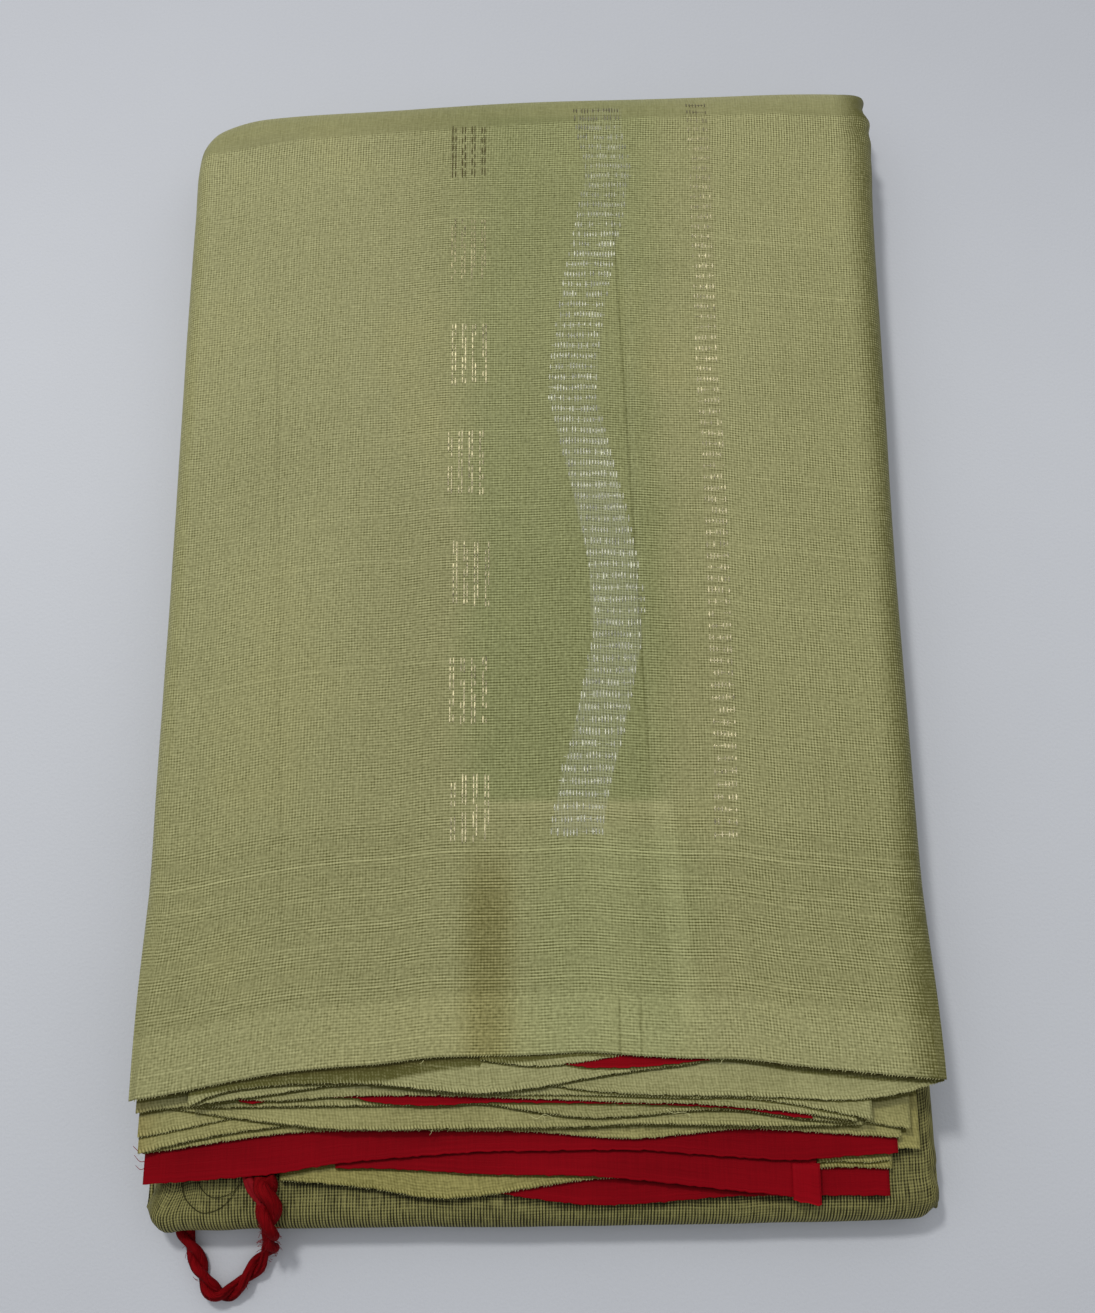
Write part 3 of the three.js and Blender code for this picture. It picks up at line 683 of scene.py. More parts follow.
class Paint(NodeWork):
    """One material's nodes."""

    def __init__(self, name):
        self.material = bpy.data.materials.new(name)
        self.material.use_nodes = True
        super().__init__(self.material.node_tree)
        self.tree.nodes.clear()

    def math(self, operation, *values):
        made = self.node("ShaderNodeMath", dict(enumerate(values)), operation=operation)
        return Field(self, made.outputs[0])

    def parts(self, socket):
        split = self.node("ShaderNodeSeparateXYZ", {0: socket})
        return [Field(self, split.outputs[k]) for k in range(3)]

    def place(self):
        """X, Y and Z of the surface in millimetres."""
        at = self.node("ShaderNodeTexCoord").outputs["Object"]
        return [part * (1 / MM) for part in self.parts(at)]

    def cloth(self):
        """Across and along the cloth in millimetres, from its own UV map."""
        at = self.node("ShaderNodeUVMap", uv_map=UV_NAME).outputs["UV"]
        return [part * (1 / MM) for part in self.parts(at)[:2]]

    def under(self):
        """How far this place lies in below the free edge over it."""
        return Field(self, self.node("ShaderNodeAttribute", attribute_name=UNDER_NAME).outputs["Fac"])

    def vector(self, x, y, z=0.0):
        return self.node("ShaderNodeCombineXYZ", {0: x, 1: y, 2: z}).outputs[0]

    def noise(self, vector, scale=1.0, detail=2.0, roughness=0.5):
        made = self.node(
            "ShaderNodeTexNoise",
            {"Vector": vector, "Scale": scale, "Detail": detail, "Roughness": roughness})
        return Field(self, made.outputs[0])

    def chance(self, vector):
        """A random number for each whole place."""
        made = self.node("ShaderNodeTexWhiteNoise", {"Vector": vector}, noise_dimensions="3D")
        return Field(self, made.outputs["Value"])

    def ramp(self, value, stops):
        made = self.node("ShaderNodeValToRGB", {0: value}, stops=stops)
        return Field(self, made.outputs[0])

    def mix(self, factor, first, second, blend="MIX"):
        made = self.node(
            "ShaderNodeMix", {0: factor, 6: first, 7: second}, data_type="RGBA", blend_type=blend)
        return made.outputs[2]

    def finish(self, colour, height, depth, roughness, **surface):
        """The surface itself: height is a field of the bump, depth its distance in metres."""
        bump = self.node(
            "ShaderNodeBump", {"Strength": 1.0, "Distance": depth, "Height": height})
        inputs = {"Base Color": colour, "Roughness": roughness, "Normal": bump.outputs[0]}
        inputs.update({SURFACE_SOCKETS[name]: value for name, value in surface.items()})
        shader = self.node("ShaderNodeBsdfPrincipled", inputs)
        self.node("ShaderNodeOutputMaterial", {"Surface": shader.outputs[0]})
        return self.material


def rgba(colour, times=1.0):
    """A colour, made lighter or darker, with its alpha."""
    return (*[min(1.0, part * times) for part in colour], 1.0)


# ------------------------------------------------------------------ finishes


def lines(paint, across, along, pitch, length, seed):
    """Uneven fine lines: noise drawn out along the threads, about -1 to 1."""
    spot = paint.vector(across * (1 / (0.55 * pitch)), along * (1 / length), seed)
    return (paint.noise(spot, detail=1.0) - 0.5) * 3.2


def even_lines(across, pitch, wander):
    """Even lines at one pitch, from -1 to 1, whose places wander a little."""
    return (across * (2 * math.pi / pitch) + wander * 5.0).sine()


def slubs(paint, across, along, pitch, share):
    """Single thicker threads, here and there: 0 or 1."""
    thread = (along * (1 / pitch)).whole()
    picked = paint.chance(paint.vector(thread, 3.7, 1.1)).rise(1 - share, 1 - share * 0.6)
    run = paint.noise(paint.vector(across * 0.022, thread * 7.31, 2.0), detail=1.0).rise(0.46, 0.60)
    return picked * run


def band(value, low, high, soft):
    """1 between low and high, with soft sides."""
    return value.rise(low - soft, low + soft) * (1 - value.rise(high - soft, high + soft))


def selvedge_ticks(across, along):
    """Weft ends that catch the light along a free edge."""
    pitch, slant = 1.06, 0.35
    near = 1 - along.rise(0.9, 1.5)
    return near * ((across + along * slant) * (2 * math.pi / pitch)).sine()


def from_head_band(paint, x, y):
    """How far a place lies past the line where the smooth round of the head fold begins."""
    half, highest = 140, 220
    stops = [((place + half) / (2 * half), line / highest) for place, line in HEAD_BAND]
    return y - paint.ramp((x + half) * (1 / (2 * half)), stops) * highest


def from_band_middle(paint, x, y):
    """How far a place lies to the side of the silver band's middle."""
    length, furthest = BAND_HEAD - BAND_FOOT, 40
    stops = [((place - BAND_FOOT) / length, middle / furthest) for place, middle in BAND_MIDDLE[::2]]
    return (x - paint.ramp((y - BAND_FOOT) / length, stops) * furthest).size()


def pale_threads(x, along):
    """The single pale weft threads: how light they make a place."""
    light = 0
    for place, left, right, strength in PALE_THREADS:
        thread = band(along, place - 0.3, place + 0.3, 0.3)
        light = light + thread * band(x, left, right, 8) * strength
    return light


def painted_fold_shade(x, y):
    """The painted shade along the folds and seams of the top panel: how dark it makes a place."""
    dark = 0
    for left, right, lean, soft, low, high, soft_end, strength in FOLD_SHADE_LINES:
        dark = dark + band(x + y * lean, left, right, soft) * band(y, low, high, soft_end) * strength
    return dark


def panel_silk(cloth):
    """The top panel: fine cross weave, ribbed after its plain border, tinted by what lies under it."""
    paint = Paint("panel_silk")
    x, y, z = paint.place()
    across, along = paint.cloth()
    broad = paint.noise(paint.vector(x * 0.016, y * 0.016, 4.0), detail=3.0)
    patch = paint.noise(paint.vector(across * 0.045, along * 0.05, 8.0), detail=2.0)
    drift = paint.noise(paint.vector(across * 0.02, along * 0.014, 1.0), detail=1.0)
    grain = paint.noise(paint.vector(across * 0.85, along * 0.95, 3.0), detail=1.0) - 0.5

    # Where each stretch of the panel lies.
    from_roll = from_head_band(paint, x, y)
    roll = from_roll.rise(-0.9, 0.9)
    drawn = band(from_roll, -15, -1.5, 4)
    ribbed = band(along, BORDER_WIDTH + 0.4, RIBBED_TO, 1.2)
    border = 1 - along.rise(BORDER_WIDTH - 0.6, BORDER_WIDTH + 0.6)
    middle = band(x, -60, 60, 25)
    right = x.rise(30, 90)

    # The weave: uneven fine threads and even ones, both ways, looser in places.
    fine_across = lines(paint, along, across, 1.0, 7.0, 0.0)
    fine_along = lines(paint, across, along, 1.12, 8.0, 5.0)
    even_across = even_lines(along, 0.98, drift)
    even_along = even_lines(across, 1.04, patch)
    loose = paint.noise(paint.vector(across * 0.22, along * 0.22, 9.0), detail=1.0).rise(0.25, 0.70) + 0.25
    on_flat = 1 - roll * 0.85
    flat_lines = (0.12 + 0.10 * middle + 0.10 * patch + 0.06 * right - 0.05 * border) * loose * on_flat
    tall_lines = ((0.16 - 0.06 * middle + 0.07 * right - 0.03 * border) * loose + drawn * 0.07) * on_flat
    tone = (
        0.50
        + even_across * flat_lines
        + even_along * tall_lines
        + fine_across * (0.055 + 0.05 * ribbed)
        + fine_along * (0.075 - 0.03 * ribbed)
        + grain * (0.60 - 0.40 * roll + 0.16 * border)
        + even_lines(along, 1.08, drift * 1.7) * 0.10 * ribbed
        + lines(paint, along, across, 3.4, 60.0, 9.0) * 0.022
        + lines(paint, across, along, 7.0, 160.0, 12.0) * 0.018
        + (broad - 0.5) * 0.16
    )
    tone = tone + slubs(paint, across, along, 0.72, 0.012) * 0.10
    tone = tone + pale_threads(x, along + (drift - 0.5) * 3.0)

    # The border with its light free edge; painted shade over the round of the head fold, with a dark line
    # where it begins, and a painted highlight on the lower half of its round; darker towards the foot in
    # the middle and a little darker on the left; painted shade along the folds that show; and painted shade
    # on the sides that turn down from the light.
    tone = tone + border * 0.065 - ribbed * 0.035
    tone = tone - band(along, BORDER_WIDTH - 1.3, BORDER_WIDTH + 0.2, 0.5) * 0.05
    tone = tone + selvedge_ticks(across, along) * 0.16
    tone = tone - roll * 0.115 - band(from_roll, -0.5, 0.3, 0.3) * 0.03
    tone = tone + (1 - z.rise(18, 26)) * roll * 0.10
    tone = tone - middle * y.rise(-84, -60) * 0.05 - (1 - x.rise(-70, 40)) * 0.03
    tone = tone - painted_fold_shade(x, y)
    tone = tone - x.rise(119, 132) * 0.44 - (1 - x.rise(-135, -129)) * 0.05

    # What shows through from below: a patch in the middle and two paler strips; and a brown streak of
    # painted shade in the soft trough near the free edge, left of the middle.
    ragged = (broad - 0.5) * 30
    centre = band(x + ragged, -24, 44, 10) * band(y, PATCH_FOOT, 200, 2.0) * (1 - 0.6 * y.rise(0, 160))
    upper = band(x, -38, 50, 16) * y.rise(60, 150)
    low_green = band(x + ragged, -2, 54, 12) * (1 - y.rise(PATCH_FOOT - 20, PATCH_FOOT))
    brown = band(x, -22.5, -8.5, 5.5) * (1 - y.rise(-112, -84))
    strip = band(x + 0.115 * (y - PATCH_FOOT), 39.5, 47.0, 1.0) * band(y, -150, PATCH_FOOT, 1.8)
    pale = band(x, 17, 33, 4) * band(y, -152, -78, 5)
    patch_edge = band(y, PATCH_FOOT - 3.0, PATCH_FOOT - 0.6, 0.8) * band(x, -22, 46, 3)
    tone = tone - centre * 0.07 + strip * 0.085 + pale * 0.035 - brown * 0.20 - upper * 0.02
    tone = tone + patch_edge * 0.05

    # The metal thread floats behind the cloth between its rows, with a fine line of painted shadow above
    # each row.
    behind = (1 - from_band_middle(paint, x, y).rise(8.3, 9.2)) * band(y, BAND_FOOT, BAND_HEAD, 1.5)
    gold_behind = band(x, COLUMN_LEFT, COLUMN_RIGHT, 0.8) * band(y, COLUMN_FOOT, COLUMN_HEAD, 1.5)
    row = (y - BAND_FOOT) * (1 / ROW_PITCH)
    past_row = row - row.whole()
    tone = tone - band(past_row, 0.27, 0.37, 0.06) * (behind + gold_behind) * 0.22

    colour = paint.mix(tone, rgba(cloth.olive_dark), rgba(cloth.olive_light))
    # Tints of what shows through, and the brown of the streak of painted shade.
    for share, tint in (
        (centre * 0.60, (0.88, 1.0, 0.91, 1)), (low_green * 0.45, (0.92, 1.02, 0.96, 1)),
        (upper * 0.4, (0.93, 1.0, 0.93, 1)), (brown * 0.6, (1.0, 0.93, 0.74, 1)),
    ):
        colour = paint.mix(share, colour, tint, "MULTIPLY")
    veil = behind * (1 - y.rise(35, 85)) * (patch - 0.1) * 0.17
    colour = paint.mix(veil, colour, (0.43, 0.42, 0.31, 1))
    silvery = band(y, -70, 60, 40)
    colour = paint.mix(
        behind * (0.03 + 0.10 * silvery + 0.14 * even_along), colour, (0.40, 0.42, 0.31, 1))
    colour = paint.mix(gold_behind * 0.10, colour, (0.30, 0.26, 0.13, 1))
    colour = paint.mix(broad.rise(0.52, 0.72) * 0.35, colour, (1.02, 0.98, 0.88, 1), "MULTIPLY")
    height = fine_across * 0.3 + fine_along * 0.3 + even_across * 0.5 + even_along * 0.5 + grain
    return paint.finish(
        colour, height, 0.00005, 0.56 - tone * 0.10, specular_ior_level=0.18, sheen_weight=0.05,
        sheen_roughness=0.45, sheen_tint=rgba(cloth.olive_light, 1.6))


def leaf_silk(cloth):
    """The free ends of the olive plies: the plain border near the selvedge."""
    paint = Paint("leaf_silk")
    x, y, z = paint.place()
    across, along = paint.cloth()
    fine_across = lines(paint, along, across, 0.9, 12.0, 3.0)
    fine_along = lines(paint, across, along, 1.05, 9.0, 6.0)
    broad = paint.noise(paint.vector(x * 0.03, y * 0.06, z * 0.9), detail=3.0)
    coarse = lines(paint, along, across, 2.6, 50.0, 9.0)
    level = paint.chance(paint.vector((z * (1 / LEVEL_STEP)).whole(), 1.0, 1.0))
    ribs = even_lines(across + along * 0.2, 1.05, broad)
    bars = even_lines(along, 0.95, broad)
    grain = paint.noise(paint.vector(across * 0.9, along * 0.9, z), detail=1.0) - 0.5
    tone = (
        0.545 + fine_across * 0.10 + fine_along * 0.10 + coarse * 0.04 + ribs * 0.09 + bars * 0.06
        + grain * 0.5 + (broad - 0.5) * 0.30 + (level - 0.5) * 0.14
    )
    tone = tone + selvedge_ticks(across, along) * 0.30
    tone = tone + slubs(paint, across, along, 0.8, 0.03) * 0.12
    # Painted shade in a band below each free edge that lies over this ply.
    under = paint.under()
    tone = tone - under.rise(-1.0, -0.66) * 0.54
    # Painted shade at the left ends of the plies, and the lower plies made darker and yellower.
    left_shade = 1 - x.rise(-131, -121)
    deep = 1 - z.rise(15, 29)
    colour = paint.mix(tone, rgba(cloth.olive_dark), rgba(cloth.olive_light))
    colour = paint.mix(deep, colour, (0.95, 0.88, 0.64, 1), "MULTIPLY")
    colour = paint.mix(left_shade * 0.5, colour, (0.92, 0.80, 0.66, 1), "MULTIPLY")
    # Deeper painted shade right under that edge.
    colour = paint.mix(under.rise(-0.5, -0.05), colour, (0.62, 0.56, 0.34, 1), "MULTIPLY")
    return paint.finish(
        colour, fine_across + fine_along, 0.00006, 0.62 - tone * 0.08, specular_ior_level=0.12,
        sheen_weight=0.03, sheen_roughness=0.5, sheen_tint=rgba(cloth.olive_light, 1.4))


def foot_silk(cloth):
    """The foot fold: a coarser, darker stretch with strong ribs round its nose."""
    paint = Paint("foot_silk")
    x, y, z = paint.place()
    across, along = paint.cloth()
    wander = paint.noise(paint.vector(across * 0.06, along * 0.10, 1.0), detail=2.0)
    uneven = paint.noise(paint.vector(across * 0.35, along * 0.16, 6.0), detail=2.0)
    ribs = even_lines(across, 1.02, wander * 0.6)
    bars = even_lines(along, 0.98, wander)
    fine = lines(paint, across, along, 1.0, 7.0, 2.0)
    flat = lines(paint, along, across, 0.9, 12.0, 5.0)
    nose = 1 - y.rise(-212, -207)
    broad = paint.noise(paint.vector(x * 0.02, y * 0.08, 2.0), detail=3.0)
    round_part = band(z, 5.0, 13.4, 2.2) * nose
    tone = (
        0.49 + ribs * (0.10 + 0.54 * uneven + 0.42 * round_part) + bars * 0.18 * (1 - 0.8 * nose)
        + fine * 0.46 + flat * 0.26 + (broad - 0.5) * 0.50
    )
    # Lighter round the nose and at the left end; painted shade low on the nose, next to the floor.
    tone = tone + round_part * 0.08 - (1 - z.rise(0.5, 6.0)) * 0.10 + (1 - x.rise(-112, -84)) * 0.14
    # Painted shade below the free edges that lie over the top of the fold, fading out towards the back,
    # which is made lighter.
    back = y.rise(-182, -160)
    tone = tone - paint.under().rise(-1.0, -0.3) * z.rise(10.0, 13.2) * (1 - back) * 0.44 + back * 0.30
    colour = paint.mix(tone, rgba(cloth.foot_dark), rgba(cloth.foot_light))
    return paint.finish(
        colour, ribs * 0.8 + bars * 0.5 + fine * 0.4, 0.00012, 0.70 - tone * 0.10,
        specular_ior_level=0.12)


def ply_silk(name, light, dark):
    """Folded ply edges seen from the side."""
    paint = Paint(name)
    x, y, z = paint.place()
    across, along = paint.cloth()
    fine = lines(paint, along, across, 1.0, 6.0, 2.0)
    long_lines = lines(paint, across, along, 0.8, 30.0, 3.0)
    broad = paint.noise(paint.vector(x * 0.03, y * 0.03, z * 0.7), detail=3.0)
    tone = 0.50 + fine * 0.13 + long_lines * 0.10 + (broad - 0.5) * 0.5
    colour = paint.mix(tone, dark, light)
    return paint.finish(
        colour, fine + long_lines, 0.00008, 0.62 - tone * 0.08, specular_ior_level=0.25,
        sheen_weight=0.08, sheen_roughness=0.5, sheen_tint=light)


def red_silk(cloth, name, light=1.0):
    """The red end: close, smooth weave with a soft shine."""
    paint = Paint(name)
    x, y, z = paint.place()
    across, along = paint.cloth()
    fine = lines(paint, across, along, 0.9, 12.0, 2.0)
    flat = lines(paint, along, across, 0.8, 20.0, 5.0)
    broad = paint.noise(paint.vector(x * 0.02, y * 0.07, z * 0.5), detail=3.0)
    tone = 0.5 + fine * 0.07 + flat * 0.06 + (broad - 0.5) * 0.5
    edge = 1 - along.rise(0.2, 0.9)
    tone = tone + edge * 0.25 + band(along, 1.6, 2.4, 0.4) * 0.06
    # Painted shade below the free edges that lie over this ply.
    tone = tone - paint.under().rise(-1.1, 0.0) * 0.62
    colour = paint.mix(tone, rgba(cloth.red, 0.42 * light), rgba(cloth.red, 1.56 * light))
    return paint.finish(
        colour, fine + flat, 0.00004, 0.58 - tone * 0.06, specular_ior_level=0.03)


def red_thread(cord):
    """Soft twisted thread: fine fibres wound round each strand."""
    paint = Paint("red_thread")
    x, y, z = paint.place()
    around, along = paint.cloth()
    fibres = lines(paint, around + along * 0.5, along, 0.55, 9.0, 2.0)
    broad = paint.noise(paint.vector(x * 0.25, y * 0.25, z * 0.25), detail=2.0)
    tone = 0.5 + fibres * 0.20 + (broad - 0.5) * 0.6
    colour = paint.mix(tone, rgba(cord.red, 0.42), rgba(cord.red, 1.45))
    return paint.finish(
        colour, fibres, 0.00025, 0.82 - tone * 0.08, specular_ior_level=0.05, sheen_weight=0.04,
        sheen_roughness=0.6, sheen_tint=rgba(cord.red, 2.0))


def fine_thread(name, dark, light, roughness, shine):
    """A thin silk thread, worn pale and dark along its length."""
    paint = Paint(name)
    x, y, z = paint.place()
    worn = paint.noise(paint.vector(x * 0.8, y * 0.8, z), detail=2.0)
    return paint.finish(
        paint.mix(worn, dark, light), worn, 0.00005, roughness, specular_ior_level=shine)


def zari(name, colour, dark_from, gloss=0.6):
    """Flat metal strip wound on a silk core: bright, with worn spots, dimmer before a place along Y and
    painted dark beyond it.
    """
    paint = Paint(name)
    x, y, z = paint.place()
    wear = paint.noise(paint.vector(x * 1.4, y * 0.8, z), detail=2.0)
    winding = even_lines(y, 0.35, wear)
    worn = paint.noise(paint.vector(x * 0.09, y * 0.05, 5.0), detail=1.0)
    tone = 0.55 + (wear - 0.5) * 2.4 + (worn - 0.5) * 1.1 + winding * 0.06
    shade = paint.mix(tone, rgba(colour, 0.20), rgba(colour, 1.15))
    # Dimmer over a stretch before the given place along Y and painted dark beyond it; for the silver and
    # gold marks that dark lies on the head fold and is painted shade.
    shade = paint.mix(y.rise(dark_from - 50, dark_from - 25), shade, (0.66, 0.66, 0.60, 1), "MULTIPLY")
    shade = paint.mix(y.rise(dark_from, dark_from + 14), shade, (0.062, 0.046, 0.010, 1))
    return paint.finish(
        shade, winding, 0.00003, 0.46 - tone * 0.10, metallic=0.25, specular_ior_level=gloss)


def floor_paint(stage):
    """A pale smooth table top, faintly mottled."""
    paint = Paint("pale_table")
    x, y, _ = paint.place()
    mottle = paint.noise(paint.vector(x * 0.02, y * 0.02, 0.0), detail=4.0, roughness=0.6)
    grain = paint.noise(paint.vector(x * 0.9, y * 0.9, 3.0), detail=2.0)
    tone = 0.5 + (mottle - 0.5) * 0.5 + (grain - 0.5) * 0.25
    shaded = paint.mix(tone, rgba(stage.floor, 0.965), rgba(stage.floor, 1.035))
    # Painted shade: the table top darkens towards the back and a little towards the front.
    far = y.rise(40, 330)
    shaded = paint.mix(far, shaded, (0.83, 0.83, 0.84, 1), "MULTIPLY")
    near = 1 - y.rise(-330, -150)
    shaded = paint.mix(near, shaded, (0.93, 0.93, 0.94, 1), "MULTIPLY")
    return paint.finish(shaded, grain, 0.0001, 0.62, specular_ior_level=0.2)


# ------------------------------------------------------------------ the wrapping cloth

# How far the tucked lip of a side turns in past the roll.
LIP_TURN = math.radians(95)
LIP_RADIUS = 1.1
# The head fold's right corner: its place, how far it reaches along X and Y, how far it stands out.
HEAD_CORNER_X = 136.5
HEAD_CORNER_Y = 212
HEAD_CORNER_WIDE = 5.5
HEAD_CORNER_LONG = 8
HEAD_CORNER_OUT = 4.0
LIP_STEPS = 5
ROLL_STEPS = 8
FLAT_STEPS = 150
FLOOR_GAP = 0.02
FOOT_PINCH = 4.2


def column_places():
    """Shares across a wall: which part of it a column is on, and how far along that part."""
    places = [("lip", t) for t in np.linspace(1, 0, LIP_STEPS, endpoint=False)]
    places += [("roll", t) for t in np.linspace(1, 0, ROLL_STEPS, endpoint=False)]
    left = [(part, t, -1) for part, t in places]
    right = [(part, t, 1) for part, t in reversed(places)]
    return left + [("flat", t, 0) for t in np.linspace(0, 1, FLAT_STEPS + 1)] + right


def column_at(place, y, roll, turn):
    """X and drop of one column of a wall, as its side rolls over and tucks in."""
    part, t, side = place
    left, right = left_at(y), right_at(y)
    inset = roll * np.sin(turn)
    if part == "flat":
        return left + inset + (right - left - 2 * inset) * t, 0 * y
    angle = turn if part == "lip" else turn * t
    across = roll * (np.sin(turn) - np.sin(angle))
    drop = roll * (1 - np.cos(angle))
    if part == "lip":
        end = angle + LIP_TURN * t
        across = across - LIP_RADIUS * (np.sin(end) - np.sin(angle))
        drop = drop + LIP_RADIUS * (np.cos(angle) - np.cos(end))
    return (left + across, drop) if side < 0 else (right - across, drop)


def crest_at(place):
    """Where along Y the head fold springs from the top panel, for one column."""
    y = np.array(HEAD_WIDTH_AT)
    x, _ = column_at(place, y, TOP_ROLL, turn_at(0))
    return head_at(x) - HEAD_NOSE


def arc_across(grid):
    """How far each point lies from the middle of its row, along the cloth."""
    step = np.linalg.norm(np.diff(grid, axis=1), axis=2)
    far = np.concatenate([np.zeros((len(grid), 1)), np.cumsum(step, axis=1)], axis=1)
    return far - far[:, grid.shape[1] // 2][:, None]


def arc_along(grid):
    """How far each point lies from the first of its column, along the cloth."""
    step = np.linalg.norm(np.diff(grid, axis=0), axis=2)
    return np.concatenate([np.zeros((1, grid.shape[1])), np.cumsum(step, axis=0)], axis=0)


def cloth_places(grid):
    """Across and along the cloth for each point: columns keep their place across all the way."""
    across = np.repeat(arc_across(grid)[[len(grid) // 4]], len(grid), axis=0)
    return np.stack([across, arc_along(grid)], -1)


def panel_grid():
    """The outer face of the cloth from its free edge, over the top, round the head and underneath."""
    top = np.concatenate([[0, 0.002, 0.005, 0.009], np.linspace(0.014, 1, 150)])
    nose = np.linspace(0, 1, 19)[1:]
    under = np.linspace(0, 1, 13)[1:]
    columns = []
    for place in column_places():
        near, _ = column_at(place, np.array(LEAF_BACK), TOP_ROLL, turn_at(LEAF_BACK))
        crest = crest_at(place)
        y = FOOT_LINE + read(PANEL_EDGE, near)
        y = y + (crest - y) * top
        x, drop = column_at(place, y, TOP_ROLL, turn_at(y))
        upper = np.stack([x, y, PACK_TOP - drop], -1)

        high_x, high_drop = column_at(place, crest, TOP_ROLL, turn_at(crest))
        low_x, low_drop = column_at(place, crest, UNDER_ROLL, turn_at(crest))
        high, low = PACK_TOP - high_drop, low_drop
        angle = math.pi * nose
        bend = np.stack([
            high_x + (low_x - high_x) * nose,
            crest + HEAD_NOSE * np.sin(angle),
            (high + low) / 2 + (high - low) / 2 * np.cos(angle),
        ], -1)

        foot_x, _ = column_at(place, np.array(FOOT_WIDTH_AT), UNDER_ROLL, turn_at(0))
        foot = foot_at(foot_x) + FOOT_TOP / 2 + 0.3
        y = crest + (foot - crest) * under
        x, drop = column_at(place, y, UNDER_ROLL, turn_at(0) + 0 * y)
        columns.append(np.concatenate([upper, bend, np.stack([x, y, drop + 0 * y], -1)]))
    return np.stack(columns, 1), len(top), len(nose)


def head_ripple(x, share):
    """Small gathers of the cloth round the head fold, sharper at the right corner."""
    wave = np.sin(share * 15 + x * 0.06)
    return wave * (0.15 + 0.9 * hump(x, 133, 7)) * np.sin(np.pi * np.clip(share, 0, 1))


def finish_wrap(made, places, *nodes):
    """Hide the parts that a wrapping cloth stands for and attach it to the root. The cloth places are not
    used.
    """
    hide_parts(*nodes)
    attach(made, "root")


def panel_cloth(cloth):
    """The outermost ply: the top panel, the head fold and the underside in one."""
    grid, top_rows, nose_rows = panel_grid()
    x, y = grid[:, :, 0].copy(), grid[:, :, 1].copy()
    row = np.arange(len(grid))[:, None] * np.ones_like(x)
    on_top = 1 - smooth(row, top_rows - 12, top_rows + 2)
    share = np.clip((row - top_rows + 12) / (nose_rows + 12), 0, 1)
    fade_sides = 1 - 0.5 * smooth(np.abs(x), 126, 134)
    height = panel_relief(x, y, cloth) * on_top * fade_sides
    edge = smooth(row, 0, 26)
    height = height * (0.35 + 0.65 * edge) + fan_lift(x, y) * (1 - edge)
    height = height + head_ripple(x, share) * smooth(row, top_rows - 14, top_rows)
    height = height * (1 - smooth(row, top_rows + nose_rows - 3, top_rows + nose_rows))
    grid = grid + outward(grid) * height[:, :, None]
    # The left side steps in just before the head fold.
    notched = smooth(-x, 121, 131) * on_top
    grid[:, :, 0] += notched * (1.8 * smooth(y, 179, 185) - 0.9 * hump(y, 175, 4))
    # The right end of the head fold is drawn in and gathered, and its corner stands out.
    gathered = smooth(y, 188, 203) * smooth(x, 120, 131)
    grid[:, :, 0] -= gathered * (2.4 + 1.1 * np.sin(y * 0.62 + 0.2))
    corner = hump(x, HEAD_CORNER_X, HEAD_CORNER_WIDE) * hump(y, HEAD_CORNER_Y, HEAD_CORNER_LONG)
    grid[:, :, 1] += corner * smooth(grid[:, :, 2], 6, 16) * HEAD_CORNER_OUT
    grid[:, :, 2] = np.maximum(grid[:, :, 2], FLOOR_GAP)
    places = cloth_places(grid)
    made = make_object(
        "panel_cloth", *shell(grid, places, cloth.ply / MM), materials=[panel_silk(cloth)])
    finish_wrap(made, places, "top_panel", "head_fold", "under_panel")


def pinched(y, z):
    """How far the left end of the foot fold is drawn in over its pointed tip."""
    return FOOT_PINCH * smooth(y, -213, -202) * (1 - smooth(y, -194, -176)) * smooth(z, 5, 12)


def foot_cloth(cloth):
    """The stretch that runs round the foot fold and back under the fan."""
    radius = FOOT_TOP / 2
    nose = np.linspace(0, 1, 27)
    back = np.concatenate([np.linspace(0, 0.45, 21)[1:], np.linspace(0.45, 1, 8)[1:]])
    columns = []
    for place in column_places():
        tucked = place[0] == "lip"
        foot_x, _ = column_at(
            ("roll", 1, place[2]) if tucked else place, np.array(FOOT_WIDTH_AT), UNDER_ROLL, turn_at(0))
        pulled = 2.5 * hump(foot_x, -122.5, 4.2) + 0.9 * smooth(-foot_x, 92, 106)
        y = foot_at(foot_x) + radius + 0.5 * tucked - pulled
        low_x, low_drop = column_at(place, y, UNDER_ROLL, turn_at(0))
        high_x, high_drop = column_at(place, y, FOOT_ROLL, turn_at(0))
        high = FOOT_TOP - high_drop
        angle = math.pi * nose
        bend = np.stack([
            low_x + (high_x - low_x) * nose,
            y - radius * np.sin(angle),
            (high + low_drop) / 2 - (high - low_drop) / 2 * np.cos(angle),
        ], -1)
        y = y + (LEAF_BACK - y) * back
        x, drop = column_at(place, y, FOOT_ROLL, turn_at(0) + 0 * y)
        columns.append(np.concatenate([bend, np.stack([x, y, FOOT_TOP - drop + 0 * y], -1)]))
    grid = np.stack(columns, 1)
    x, y = grid[:, :, 0].copy(), grid[:, :, 1].copy()
    highest = 0.25
    ripple = highest * swell_at(x * 2, y * 3, 3.0) + smooth(x, 118, 132) * 0.7 * np.sin(y * 0.55 + 1.0)
    front = 1 - smooth(y, -196, -184)
    ripple[:, :LIP_STEPS + 2] = 0
    ripple[:, -LIP_STEPS - 2:] = 0
    grid = grid + outward(grid) * (np.minimum(ripple, highest) * front)[:, :, None]
    grid[:, :, 2] = np.maximum(grid[:, :, 2], FLOOR_GAP)
    grid[:, :, 0] += pinched(y, grid[:, :, 2]) * smooth(-x, 108, 124)
    places = cloth_places(grid)
    under = under_edges(x, y, FOOT_TOP)
    made = make_object(
        "foot_cloth", *shell(grid, places, cloth.ply / MM), materials=[foot_silk(cloth)], under=under)
    finish_wrap(made, places, "foot_fold")


